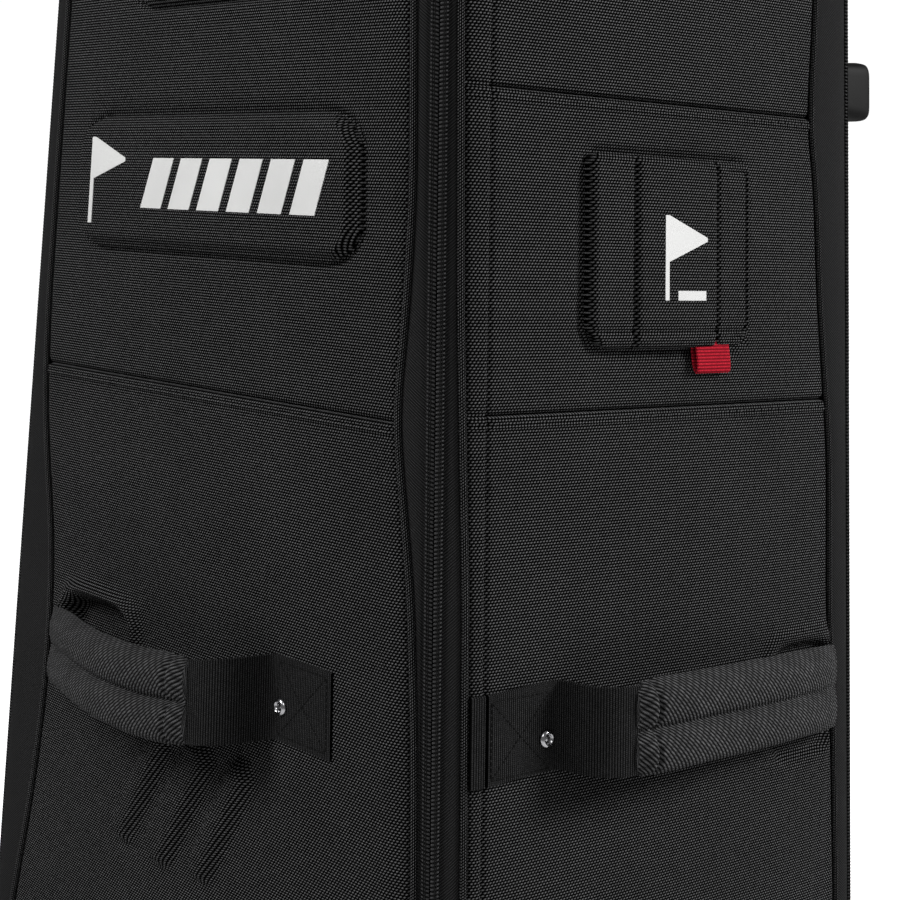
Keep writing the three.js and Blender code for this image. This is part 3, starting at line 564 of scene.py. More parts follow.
# %% [markdown]
# The padded walls. A foam-backed panel is flat in the middle, rolls in where it is sewn to the zip
# tape, and dips at each cross seam, with a turned hem under the seam. All of that is a height over
# the wall: a sum of an edge roll, a crown between seams, and a crease and hem at each seam.
# %% Panel helpers
def around(values, *centres):
    """Grid lines: the values given, and close ones round each centre, where the shape turns fast."""
    below = [-12, -9, -7.5, -6.5, -5.5, -4.8, -4.2, -3.5, -2.5, -1.6, -0.8]
    near = np.array([*below, 0, 0.8, 1.6, 2.5, 4, 6, 9])
    lines = np.sort(np.concatenate([values, *(c + near for c in centres)]))
    lines = lines[(lines >= values[0]) & (lines <= values[-1])]
    return lines[np.concatenate([[True], np.diff(lines) > 0.3])]


def edge_roll(distance, radius):
    """A quarter circle down to -radius at distance 0."""
    d = np.clip(distance, 0, radius)
    return np.sqrt(np.maximum(radius**2 - (radius - d) ** 2, 0)) - radius


def seam(s, z, at):
    """A crease at the seam, a turned hem 6 mm wide under it, and a dimple at each of its stitches."""
    under = at - z
    hem = soft_step(under / 0.8) - soft_step((under - 5.6) / 1.4)
    dimple = 0.55 + 0.45 * np.cos(s * 2 * math.pi / 7.0)
    return -3.6 * np.exp(-np.abs(under) / 1.2) + 1.5 * hem - 1.3 * dimple * dip(under - 3.9, 0.9)


def wall_height(s, z, s0, s1, z0, z1, seams, roll=3.5, crown=2.5, end_roll=2.0):
    """Edge rolls + crown between seams + creases."""
    height = edge_roll(np.minimum(s - s0, s1 - s), roll) + edge_roll(np.minimum(z - z0, z1 - z), end_roll)
    across_it = np.sin(np.pi * np.clip((s - s0) / (s1 - s0), 0, 1)) ** 0.6
    stops = [z0, *sorted(seams), z1]
    for a, b in zip(stops[:-1], stops[1:]):
        inside = np.clip((z - a) / (b - a), 0, 1)
        height = height + crown * across_it * np.sin(np.pi * inside) ** 0.45
    for at in seams:
        height = height + seam(s, z, at)
    return height


SEWN = 25.7  # from the middle of a zip to the piping beside it
CUT = 27.2  # from there to the edge of the padding
ROW_S, ROW_Z = 4.5, 5.0  # grid spacing on a wall


def straight(z):
    """A sewn edge that keeps the usual distance from the middle of its zip."""
    return SEWN + 0 * z


def grid_lines(low, high, step, close):
    """Even lines from low to high, which give way to the closer ones that a relief needs."""
    even = np.linspace(low, high, max(round((high - low) / step), 5))
    if len(close):
        apart = np.abs(even[:, None] - close).min(axis=1) > step / 2
        apart[[0, -1]] = True
        even = np.sort(np.concatenate([even[apart], close]))
    return even


def panel(name, s0, s1, z0, z1, seams, body, nodes=(), relief=None, thick=6.0, edges=(straight, straight),
          begin=None, end=None, close=((), ()), **shape):
    """A padded wall piece between two zips at s0 and s1. Its sewn edges may wander with height, and
    it may begin or end at a cut inside them; close gives extra grid lines for a relief."""
    a, b = s0 + CUT if begin is None else begin, s1 - CUT if end is None else end
    a, b = (a, b) if b - a > 5 else (a - 12, b)
    s = around(grid_lines(a, b, ROW_S, close[0]), a, b)
    z = around(grid_lines(z0, z1, ROW_Z, close[1]), z0, z1, *seams)
    grid_s, grid_z = np.meshgrid(s, z, indexing="ij")
    low, high = s0 + edges[0](grid_z) + CUT - SEWN, s1 - edges[1](grid_z) - CUT + SEWN
    first, last = low if begin is None else begin, high if end is None else end
    grid_s = first + (grid_s - a) * (last - first) / (b - a)
    height = wall_height(grid_s, grid_z, low, high, z0, z1, seams, **shape)
    if relief:
        height = height + relief(grid_s, grid_z)
    for cut in (begin, end):
        height = height if cut is None else height - 1.3 * dip(grid_s - cut, 1.3)
    made = piece(name, [sheet(on, grid_s, grid_z, height, -thick)], SHELL, body, nodes)
    print(name, len(s), "by", len(z), "grid")
    return made


# %% [markdown]
# The front lid carries the badge and, below its handle, a moulded relief: three slanted bars pressed
# up from behind. The walls behind the handles are pressed in a little to make room for fingers.
# %% Front lid, side covers, back, rim band
TAPE_W = 24.0
HEM_W = 3.2


def wander(*table):
    """A sewn edge: how far its piping is from the middle of the zip, at each of a few heights."""
    z, far = np.array(table).T
    return lambda at: sum(np.interp(at + k * 6.0, z, far) for k in range(-3, 4)) / 7


LID_RIGHT = wander((250, 25.7), (330, 14), (420, 9), (493, 8), (566, 8.5), (640, 11.3), (674, 14.7),
                   (711, 19), (730, 20.5), (748, 18.5), (785, 15), (836, 12.3), (926, 13),
                   (1100, 14), (1165, 15.5))
LID_LEFT = wander((250, 25.7), (300, 29), (371, 37), (449, 50), (515, 57), (576, 57.5), (620, 53), (660, 43),
                  (703, 34), (763, 30), (944, 29), (1165, 25.7))
SIDE_FRONT = wander((250, 25.7), (330, 16), (493, 16.6), (640, 16), (711, 13.7), (785, 11.6), (926, 10),
                    (1100, 13), (1190, 25.7))
SIDE_BACK = wander((250, 25.7), (432, 26.6), (552, 28.8), (612, 32), (698, 31), (742, 35), (786, 39.5),
                   (848, 42), (888, 48), (905, 46), (954, 42), (1100, 34), (1190, 26))
LEG, ZIP_TOP, BODY_TOP = 250.0, 1165.0, 1189.6
WALL_FOOT, RIM_FOOT = LEG + 0.5, 200.8
FRONT_SEAMS, WALL_SEAMS = [724.0], [729.0, 888.0]
HANDLE_Z = 570.0
HINGE = 27.6


def pressed_bar(u, w, u0, w0, length, half, angle):
    """A raised slanted bar: distance outside a capsule, turned into a soft plateau."""
    c, s = math.cos(angle), math.sin(angle)
    a, b = (u - u0) * c + (w - w0) * s, -(u - u0) * s + (w - w0) * c
    outside = np.hypot(np.maximum(np.abs(a) - length / 2, 0), b)
    return soft_step((half - outside) / 9 + 0.35)


def finger_room(along, z, middle, half, depth, level=572.0, lip=0.0):
    """A dish pressed in behind a grip's outer end: a superellipse with a steep edge, and above it a
    lip where the cloth is pushed up."""
    far = ((np.abs(along - middle) / half) ** 4 + (np.abs(z - level) / 32) ** 4) ** 0.25
    return -depth * soft_step((1.12 - far) / 0.2) + lip * dip(far - 1.22, 0.13) * soft_step((z - level) / 26)


def outside_of(x, z, box, rx, rz):
    """How far a point is outside a rectangle x0, x1, z0, z1 whose corners are quarter ellipses rx by rz."""
    x0, x1, z0, z1 = box
    u = (np.abs(x - (x0 + x1) / 2) - (x1 - x0) / 2) / rx + 1
    w = (np.abs(z - (z0 + z1) / 2) - (z1 - z0) / 2) / rz + 1
    p, q = np.maximum(u, 0), np.maximum(w, 0)
    size = (rx * p**2 + rz * q**2) / (p**2 + q**2 + 1e-9)
    return np.where(p + q > 0, (np.hypot(p, q) - 1) * size, -min(rx, rz))


def raised_field(x, z):
    """A plateau inside a rounded rectangle, with a sewn crease round it."""
    outside = outside_of(x, z, (-86, 148, 934.5, 1104.5), 25, 25)
    return 2.6 * soft_step(0.5 - outside / 5) - 4.4 * dip(outside, 2.0)


BADGE = (-132.5, 151.0, 798.8, 874.2)
FLAP = (-71.5, 53.5, 761.0, 860.0)


def sewn_round(x, z, box, rx, rz, depth):
    """A groove in the wall where a plate is sewn on."""
    return -depth * dip(outside_of(x, z, box, rx, rz) - 1.4, 1.7)


BARS = ((-28.0, 9.0), (8.0, 12.0), (46.0, 9.0))  # middle along the wall, half width
BAR_Z, BAR_LENGTH, BAR_SLANT, BAR_RISE = 490.0, 66.0, math.radians(62), 7.0


def front_relief(s, z):
    """Finger room, three slanted bars low down, a raised field high up, and the badge's groove."""
    x = s - front_s(0)
    bars = sum(pressed_bar(x, z, middle, BAR_Z, BAR_LENGTH, half, BAR_SLANT) for middle, half in BARS)
    return (BAR_RISE * bars + raised_field(x, z) + finger_room(x, z, -82.0, 34.0, 8.6, 553.0, 5.5)
            + sewn_round(x, z, BADGE, 34.0, 21.0, 2.6))


def right_relief(s, z):
    """Finger room behind the right-hand grip, and the groove round the label flap."""
    y = s - right_s(0)
    return finger_room(y, z, 104.0, 26.0, 4.2, 556.0, 2.2) + sewn_round(y, z, FLAP, 11.0, 11.0, 2.4)


def left_relief(s, z):
    """Finger room behind the left-hand grip."""
    return finger_room(left_s(0) - s, z, 100.0, 28.0, 4.0)


front_close = (front_s(0) + np.concatenate([np.arange(-150.0, 80.0, 2.2), np.arange(114.0, 158.0, 2.0)]),
               np.concatenate([np.arange(442.0, 606.0, 2.1), np.arange(793.0, 821.0, 1.9),
                               np.arange(852.0, 880.0, 1.9), np.arange(927.0, 948.0, 1.7),
                               np.arange(1095.0, 1111.0, 1.8)]))
right_close = (right_s(0) + np.concatenate([np.arange(46.0, 62.0, 1.5), np.arange(66.0, 136.0, 1.7)]),
               np.concatenate([np.arange(574.0, 606.0, 1.6), np.arange(852.0, 868.0, 1.5)]))
panel("front_panel_cloth", FL, LAP, WALL_FOOT, ZIP_TOP - TAPE_W - HEM_W, FRONT_SEAMS, "lid", ["front_panel"],
      front_relief, thick=9.5, edges=(LID_LEFT, LID_RIGHT), close=front_close)
panel("side_panel_cloth_right", 0, BR, WALL_FOOT, BODY_TOP - 2.5, WALL_SEAMS, "cover_right",
      ["side_cover_right"], right_relief, thick=5.5, edges=(SIDE_FRONT, SIDE_BACK), begin=HINGE,
      close=right_close)
panel("side_facing_cloth_right", 0, BR, WALL_FOOT, BODY_TOP - 2.5, WALL_SEAMS, "case", thick=1.5,
      edges=(SIDE_FRONT, SIDE_BACK), end=HINGE - 0.3)
panel("side_panel_cloth_left", BL, FL, WALL_FOOT, BODY_TOP - 2.5, WALL_SEAMS, "cover_left",
      ["side_cover_left"], left_relief, thick=5.5)
panel("back_panel_cloth", BR, BL, WALL_FOOT, BODY_TOP - 0.5, WALL_SEAMS, "case", ["back_panel"], thick=7.5,
      crown=1.0)


def swept_round(profile, s):
    """A closed profile of (out, z) points carried right round the outline."""
    out, z = profile[:, 0], profile[:, 1]
    points = on(s[:, None], z[None], out[None])
    n, k = len(s), len(profile)
    i, j = np.meshgrid(np.arange(n), np.arange(k), indexing="ij")
    a, b = i * k + j, i * k + (j + 1) % k
    c, d = (i + 1) % n * k + (j + 1) % k, (i + 1) % n * k + j
    faces = np.stack([a, b, c, d], -1).reshape(-1, 4)
    length = np.concatenate([[0], np.cumsum(np.hypot(*np.diff(profile, axis=0).T))])
    uv = np.stack(np.broadcast_arrays(s[:, None], length[None]), -1).reshape(-1, 2)
    return points.reshape(-1, 3), faces, uv[faces]


def rounded(points, times=3):
    """Corner cutting: each pass replaces a closed outline's corners with quarter points."""
    for _ in range(times):
        ahead = np.roll(points, -1, axis=0)
        points = np.stack([0.75 * points + 0.25 * ahead, 0.25 * points + 0.75 * ahead], 1).reshape(-1, 2)
    return points


lap = np.arange(0, LAP, LAP / 330)
RIM_TOP, RIM_OUT, RIM_IN = LEG - 1.1, -5.4, -23.5
core = [(RIM_OUT, RIM_FOOT), (RIM_OUT, RIM_TOP), (RIM_IN, RIM_TOP), (RIM_IN, RIM_FOOT)]
band_parts = [swept_round(rounded(np.array(core), 2), lap)]
for start, stop in ((0, BR), (BR, BL), (BL, FL), (FL, LAP)):
    a, b = start + TAPE_W + 1.2, stop - TAPE_W - 1.2
    s, z = around(np.linspace(a, b, 60), a, b), np.linspace(RIM_FOOT, 249.0, 16)
    grid_s, grid_z = np.meshgrid(s, z, indexing="ij")
    height = wall_height(grid_s, grid_z, a, b, RIM_FOOT, 249.0, [], crown=1.2, roll=2.5, end_roll=3.0)
    band_parts.append(sheet(on, grid_s, grid_z, height, -5.2))
piece("rim_band_cloth", band_parts, SHELL, "case", ["base_band"])

# %% [markdown]
# The hood is one padded cap. Its rings are rounded rectangles that shrink while they rise on a
# quarter circle. The same function, moved in by 9 and 19 mm, gives the foam lining inside it.
# %% Hood
HOOD_ROUND, HEIGHT = 62.0, 1300.0


def rounded_ring(half_x, half_y, radius, k=96):
    """k points round a rounded rectangle: corner centres plus radius times the direction."""
    angle = (np.arange(k) + 0.5) * 2 * math.pi / k
    way = np.stack([np.cos(angle), np.sin(angle)], -1)
    return np.sign(way) * (np.array([half_x, half_y]) - radius) + radius * way


def hood_rings(inset, steps):
    """Rings from the rim up to the crown, as (rings, 96, 3) points."""
    half_x = HALF_W + LEAN_W * (PLAN_Z - BODY_TOP) - inset
    half_y = HALF_D + LEAN_D * (PLAN_Z - BODY_TOP) - inset
    rise = np.concatenate([np.linspace(0, 1, 6), np.ones(steps)])
    arc = np.concatenate([np.zeros(6), np.linspace(0, 1, steps + 1)[1:]]) * math.pi / 2
    fill = np.linspace(1, 0, 9)[1:]
    rise, arc = np.concatenate([rise, np.ones(8)]), np.concatenate([arc, np.full(8, math.pi / 2)])
    shrink = np.concatenate([np.ones(6 + steps), fill])
    round_in = (HOOD_ROUND - inset) * (1 - np.cos(arc))
    z = BODY_TOP + 0.8 + rise * (HEIGHT - HOOD_ROUND - BODY_TOP - 0.8) + (HOOD_ROUND - inset) * np.sin(arc)
    z = z + 2.0 * (1 - shrink**2) - 2.0
    rings = []
    for level, inner, scale in zip(z, round_in, shrink):
        hx, hy = (half_x - inner) * max(scale, 0.004), (half_y - inner) * max(scale, 0.004)
        rounder = 18 * soft_step((level - BODY_TOP) / 60)
        radius = min(CORNER - inset / 2 + 0.5 * inner + rounder, hx * 0.98, hy * 0.98)
        flat = rounded_ring(hx, hy, radius)
        rings.append(np.concatenate([flat, np.full((len(flat), 1), level)], 1))
    return np.array(rings)


def cap_part(outer, inner):
    """A padded cap: the inner rings from the crown down, then the outer ones up again."""
    rings = np.concatenate([inner[::-1], outer])
    step = np.linalg.norm(np.diff(rings, axis=0), axis=-1).mean(1)
    along = np.concatenate([[0], np.cumsum(step)])
    round_it = np.linspace(0, 1200, rings.shape[1] + 1)
    return tube(rings, np.stack(np.broadcast_arrays(round_it[None], along[:, None]), -1))


hood_outer = cap_part(hood_rings(0, 14), hood_rings(8.5, 14))
hood_inner = cap_part(hood_rings(9.5, 14), hood_rings(19, 14))
piece("hood_cloth", [hood_outer], SHELL, "case", ["hood_shell"])
piece("hood_lining", [hood_inner], LINING, "case", ["hood_foam"])
print("hood top", round(hood_rings(0, 14)[..., 2].max()), "mm")

# %% [markdown]
# The zips. A coil zip is a nylon wire wound in loops and sewn along a woven tape; each loop has a
# head in the middle that hooks round its neighbours. Every loop is a small bent tube: it starts flat
# at the head, rises, and dives at the outer edge. The two rows are half a pitch apart.
# %% Zip helpers
PITCH = 2.0


def along_legs(mid, side):
    """Maps (across, along, out) beside an upright zip to points."""
    return lambda across_it, along, out: on(mid + side * across_it, along, out)


def along_top(side):
    """The same for the run across the front, where along is distance round the outline."""
    return lambda across_it, along, out: on(along, ZIP_TOP + side * across_it, out)


def teeth(place, low, high, phase):
    """Bent tubes every PITCH: across runs 0.2 to 4.2 mm, out rises to 1.25 and dives at the edge."""
    t = np.linspace(0, 1, 6)
    across_it = 0.25 + 3.95 * t
    middle = 0.95 + 0.35 * np.sin(math.pi * t**0.8) - 0.55 * t**4
    slant = 0.9 * (t - 0.2)
    wide = 0.58 + 0.22 * dip(t - 0.02, 0.12) - 0.1 * t
    tall = 0.55 + 0.1 * np.sin(math.pi * t)
    angle = (np.arange(6) + 0.5) * math.pi / 3
    where = np.arange(low + phase * PITCH + 0.8, high - 0.8, PITCH)
    a = np.broadcast_to(across_it[None, :, None], (len(where), 6, 6))
    b = where[:, None, None] + slant[None, :, None] + wide[None, :, None] * np.cos(angle)
    c = middle[None, :, None] + tall[None, :, None] * np.sin(angle) + 0 * b
    return repeated(place(a, b, c))


def cord_line(place, low, high, across_at, out_at, radius, wave=0.0):
    """A cord along the zip: the sewing thread, which bobs once for each loop, or the core inside them."""
    along = np.arange(low + 0.5, high - 0.5, PITCH / 3)
    angle = (np.arange(5) + 0.5) * math.pi * 2 / 5
    bob = wave * np.cos(along * 2 * math.pi / PITCH)[:, None]
    a = across_at + radius * np.cos(angle)[None] + 0 * bob
    c = out_at + bob + radius * np.sin(angle)[None]
    uv = np.zeros((len(along), 6, 2))
    return tube(place(a, along[:, None] + 0 * a, c), uv)


def tape_part(place, low, high, edge=straight, step=6.0):
    """The woven tape from the loops to its sewn edge, slightly arched."""
    across_it = np.array([0.5, 1.5, 3, 4.5, 5.5, 7, 9.5, 12.5, 15.5, 18.5, 21, 22.6, 23.5, 24.0])
    along = np.linspace(low, high, max(int((high - low) / step), 2))
    a, b = np.meshgrid(across_it, along, indexing="ij")
    arch = 0.5 * np.sin(math.pi * np.clip((a - 4.5) / 19.5, 0, 1)) - 0.5 * soft_step((a - 22) / 2) - 0.35
    arch = arch - 0.5 * dip(a - 4.8, 0.8)
    a = np.minimum(a, 5.5) + np.maximum(a - 5.5, 0) * (edge(b) - 1.7 - 5.5) / 18.5
    return sheet(place, a, b, arch, np.full_like(a, -1.15))


def zip_half(name, body, runs, nodes):
    """One half of a zip: tape, teeth and threads along each of its runs (place, low, high, phase and,
    where the tape's sewn edge wanders, that edge)."""
    tapes = [tape_part(place, low, high, *edge) for place, low, high, _, *edge in runs]
    piece(name + "_tape", tapes, TAPE, body, nodes)
    loops = [teeth(*run[:4]) for run in runs]
    piece(name + "_teeth", loops, TEETH, body, nodes, sharp=80)
    lines = []
    for place, low, high, *_ in runs:
        lines.append(cord_line(place, low, high, 1.5, 0.7, 0.95))
        lines.append(cord_line(place, low, high, 2.1, 1.72, 0.34, 0.1))
        lines.append(cord_line(place, low, high, 3.0, 1.6, 0.3, 0.1))
    piece(name + "_thread", lines, THREAD, body, nodes, sharp=80)


# %% Main zip, pocket zips and their feet
runs = [(along_legs(0, 1), LEG, ZIP_TOP + 0.5, 0.0, SIDE_FRONT),
        (along_legs(FL, -1), LEG, ZIP_TOP + 0.5, 0.0),
        (along_top(1), FL - TAPE_W, LAP + TAPE_W, 0.0)]
zip_half("main_zip_case", "case", runs, ["main_zip_body_half"])
runs = [(along_legs(0, -1), LEG + 0.3, ZIP_TOP - TAPE_W, 0.5, LID_RIGHT),
        (along_legs(FL, 1), LEG + 0.3, ZIP_TOP - TAPE_W, 0.5, LID_LEFT),
        (along_top(-1), FL + 0.5, LAP - 0.5, 0.5)]
zip_half("main_zip_lid", "lid", runs, ["main_zip_lid_half"])
for side, mid, sign, edge in (("right", BR, -1, SIDE_BACK), ("left", BL, 1, straight)):
    on_case = [(along_legs(mid, -sign), LEG, BODY_TOP, 0.0)]
    on_cover = [(along_legs(mid, sign), LEG + 0.3, BODY_TOP - 2, 0.5, edge)]
    zip_half(f"pocket_zip_case_{side}", "case", on_case, [f"pocket_zip_body_{side}"])
    zip_half(f"pocket_zip_cover_{side}", f"cover_{side}", on_cover, [f"pocket_zip_cover_{side}"])
FEET = {"main_right": 0.0, "main_left": FL, "pocket_right": BR, "pocket_left": BL}
for name, mid in FEET.items():
    runs = [(along_legs(mid, 1), 204.0, LEG - 0.8, 0.0), (along_legs(mid, -1), 204.0, LEG - 0.8, 0.5)]
    zip_half(f"zip_foot_{name}", "case", runs, [f"zip_foot_{name}"])

# %% [markdown]
# Piping edges every panel: a cord in a sleeve of the same cloth. It is a round tube laid along the
# panel's side, just proud of it.
# %% Piping
def piping(name, lines, body, radius=1.9):
    """Round tubes along lines of (s, z, out) points."""
    angle = (np.arange(10) + 0.5) * math.pi * 2 / 10
    parts = []
    for s, z, out in lines:
        across_it = np.gradient(s), np.gradient(z)
        size = np.hypot(*across_it)
        ns, nz = -across_it[1] / size, across_it[0] / size
        ring_s = s[:, None] + radius * ns[:, None] * np.cos(angle)
        ring_z = z[:, None] + radius * nz[:, None] * np.cos(angle)
        ring_o = out[:, None] + radius * np.sin(angle) + 0 * ring_s
        length = np.concatenate([[0], np.cumsum(np.hypot(np.diff(s), np.diff(z)))])
        around_it = np.linspace(0, 2 * math.pi * radius, 11)
        uv = np.stack(np.broadcast_arrays(length[:, None], around_it[None]), -1)
        parts.append(tube(on(ring_s, ring_z, ring_o), uv))
    return piece(name, parts, HEM, body)


def upright_line(mid, side, edge, low, high):
    """A line of piping up the wall, along a sewn edge beside the zip at mid."""
    z = np.linspace(low, high, int((high - low) / 6) + 2)
    return mid + side * edge(z), z, np.full_like(z, 0.1)


top_line = ZIP_TOP - SEWN
s_top = np.linspace(FL + LID_LEFT(top_line) + 1.6, LAP - LID_RIGHT(top_line) - 1.6, 90)
piping("front_panel_piping", [upright_line(FL, 1, LID_LEFT, LEG + 1, top_line + 1.4),
                              upright_line(LAP, -1, LID_RIGHT, LEG + 1, top_line + 1.4),
                              (s_top, np.full_like(s_top, top_line), np.full_like(s_top, -0.3))], "lid")
piping("side_panel_piping_right", [upright_line(BR, -1, SIDE_BACK, LEG + 1, BODY_TOP - 3)], "cover_right")
piping("side_facing_piping_right", [upright_line(0, 1, SIDE_FRONT, LEG + 1, BODY_TOP - 3)], "case")
piping("side_panel_piping_left", [upright_line(BL, 1, straight, LEG + 1, BODY_TOP - 3),
                                  upright_line(FL, -1, straight, LEG + 1, BODY_TOP - 3)], "cover_left")
piping("back_panel_piping", [upright_line(BR, 1, straight, LEG + 1, BODY_TOP - 1),
                             upright_line(BL, -1, straight, LEG + 1, BODY_TOP - 1)], "case")
for name, level in (("hood_seam_piping", BODY_TOP + 0.4), ("rim_seam_piping", 200.6)):
    turn = np.arange(10) * math.pi / 5
    profile = np.stack([0.2 + 1.5 * np.cos(turn), level + 1.5 * np.sin(turn)], -1)
    piece(name, [swept_round(profile, lap)], HEM, "case")

# %% [markdown]
# The carry handles. Flat webbing is sewn down in a square, stands up off the wall, and turns into a
# padded grip whose outer end is caught in the panel's edge. The strap is a rectangle with soft edges
# carried along a smooth path; the grip's section is two puffed lobes with a stitched valley between.
# %% Handle helpers
def smooth_path(points, spacing=1.2, times=4):
    """Corner cutting on an open path, then even steps along it."""
    p = np.array(points, float)
    for _ in range(times):
        q = np.stack([0.75 * p[:-1] + 0.25 * p[1:], 0.25 * p[:-1] + 0.75 * p[1:]], 1).reshape(-1, 2)
        p = np.concatenate([p[:1], q, p[-1:]])
    length = np.concatenate([[0], np.cumsum(np.hypot(*np.diff(p, axis=0).T))])
    even = np.linspace(0, length[-1], int(length[-1] / spacing) + 2)
    return np.stack([np.interp(even, length, p[:, 0]), np.interp(even, length, p[:, 1])], -1), even


def strap(place, path, half, thick, middle):
    """Flat webbing along a path of (along, out): its section is a rectangle with rounded edges."""
    points, length = smooth_path(path)
    forward = np.gradient(points, axis=0)
    forward /= np.hypot(*forward.T)[:, None]
    normal = np.stack([-forward[:, 1], forward[:, 0]], -1)
    flat = np.linspace(-1, 1, 13)
    w = np.concatenate([flat * (half - 0.6), [half], flat[::-1] * (half - 0.6), [-half]])
    h = np.concatenate([np.full(13, 0.5), [0], np.full(13, -0.5), [0]]) * thick
    t = points[:, None, 0] + normal[:, None, 0] * h
    v = points[:, None, 1] + normal[:, None, 1] * h
    z = middle(t) + w
    wide = np.concatenate([w, [w[0]]])
    uv = np.stack(np.broadcast_arrays(length[:, None], wide[None]), -1)
    return tube(place(t, z, v), uv)


def stitches(place, start, stop, out, pitch=3.2, length=2.4, radius=0.36):
    """A row of thread dashes from start to stop, as (along, z), at a height out of the wall."""
    a, b = np.array(start, float), np.array(stop, float)
    span = np.hypot(*(b - a))
    way = (b - a) / span
    side = np.array([-way[1], way[0]])
    where = np.arange(pitch / 2, span, pitch)
    t = np.array([-0.5, -0.35, 0.35, 0.5]) * length
    swell = np.array([0.3, 1, 1, 0.3]) * radius
    angle = np.arange(5) * math.pi * 2 / 5
    run = where[:, None, None] + t[None, :, None]
    off = swell[None, :, None] * np.cos(angle) + 0 * run
    rise = swell[None, :, None] * np.sin(angle) + 0 * run
    x = a[0] + way[0] * run + side[0] * off
    z = a[1] + way[1] * run + side[1] * off
    return repeated(place(x, z, out + rise))


def boxed_cross(place, t0, t1, z0, z1, out):
    """A rectangle of stitches with its two diagonals."""
    a, b, c, d = (t0, z0), (t1, z0), (t1, z1), (t0, z1)
    pairs = [(a, b), (b, c), (c, d), (d, a), (a, c), (b, d)]
    return [stitches(place, p, q, out) for p, q in pairs]


def grip_part(place, t0, t1, bend, level_at):
    """Two lobes: half thickness = T (1 - 0.997 (2|h| - 1)^2)^0.5 (1 - h^8)^0.5 at the height h = -1..1,
    which leaves a sewn valley in the middle; T and H draw in at both ends and at a stitched band."""
    t = around(np.linspace(t0, t1, 90), t0, t0 + 11, t1)
    near, far = t - t0, t1 - t
    tall = 25.2 - 2.5 * dip(near, 6) - 0.8 * dip(far, 10) - 1.0 * dip(near - 11, 2.5)
    drawn_in = 0.6 * dip(near, 4) + 0.34 * dip(near - 11, 1.6) + 0.5 * dip(far, 24) + 0.25 * dip(far, 6)
    deep = 9.5 * (1 - drawn_in)
    middle = np.interp(t, *zip(*bend))
    middle = np.convolve(np.pad(middle, 12, mode="edge"), np.ones(25) / 25, mode="valid")
    turn = (np.arange(76) + 0.5) * math.pi * 2 / 76
    level = np.sign(np.cos(turn)) * np.abs(np.cos(turn)) ** 1.25
    lobe = np.sqrt(1 - 0.997 * (2 * np.abs(level) - 1) ** 2) * np.sqrt(1 - level**8)
    half = deep[:, None] * lobe * np.sign(np.sin(turn))
    z = level_at(t)[:, None] + tall[:, None] * level
    steps = np.hypot(np.diff(np.append(level, level[0])) * 26, np.diff(np.append(half[60], half[60, 0])))
    around_it = np.concatenate([[0], np.cumsum(steps)])
    folded = np.abs(around_it - around_it[38])
    uv = np.stack(np.broadcast_arrays(t[:, None], folded[None]), -1)
    return tube(place(t[:, None] + 0 * half, z, middle[:, None] + half), uv)


def lathe(place, t, z, profile, k=28):
    """Rings of (radius, out) about a point on the wall."""
    angle = np.arange(k) * 2 * math.pi / k
    r, out = np.array(profile, float).T
    x = t + r[:, None] * np.cos(angle)
    y = z + r[:, None] * np.sin(angle)
    return tube(place(x, y, out[:, None] + 0 * x), np.zeros((len(r), k + 1, 2)))


# %% Three handles
GRIP_IN = 72.5
rivet_profile = [(0.3, 3.0), (4.6, 3.0), (4.7, 3.5), (4.3, 4.3), (3.6, 4.9), (3.0, 5.0), (2.5, 4.6),
                 (2.2, 3.9), (1.5, 3.7), (0.8, 4.0), (0.3, 4.1)]
LOOP = [(22, 1.7), (43, 1.7), (47, 2.2), (49.5, 7), (51, 14), (52.5, 23), (57, 31), (65, 36.5),
        (76, 38), (86, 38)]
TAIL = [(-8.0, 1.7), (-4.0, 1.7), (-0.4, 1.7)]
LOOP_START = {"front": 0, "right": 1.5, "left": 0}  # the right one starts past its cover's hinge line
WEB_HALF, WEB_THICK, CROSS_HALF = 23.0, 2.5, 19.5
HANDLES = {
    "front": ("lid", lambda t, z, v: on(front_s(134.0 - t), z, v)),
    "right": ("cover_right", lambda t, z, v: on(right_s(t - 136.0), z, v)),
    "left": ("cover_left", lambda t, z, v: on(left_s(t - 136.0), z, v)),
}
side_droop = [(0, 0), (45, 2), (84, 2), (127, 0), (183, -3), (222, -5)]
side_bend = [(0, 33), (90, 32), (127, 27), (183, 20), (222, 14)]
HANG = {  # where the grip is sewn down, how it droops, how it bends in, how far the loop stands out
    "front": (268.0, [(0, 0), (45, 0), (68, -4), (110, -9), (144, -11), (226, -16), (268, -20)],
              [(0, 38), (140, 38), (180, 30), (222, 16), (268, 0)], 1.0),
    "right": (266.0, [*side_droop, (266, -8)], [*side_bend, (266, 3)], 0.87),
    "left": (271.0, [*side_droop, (271, -8)], [*side_bend, (271, 3)], 0.87),
}
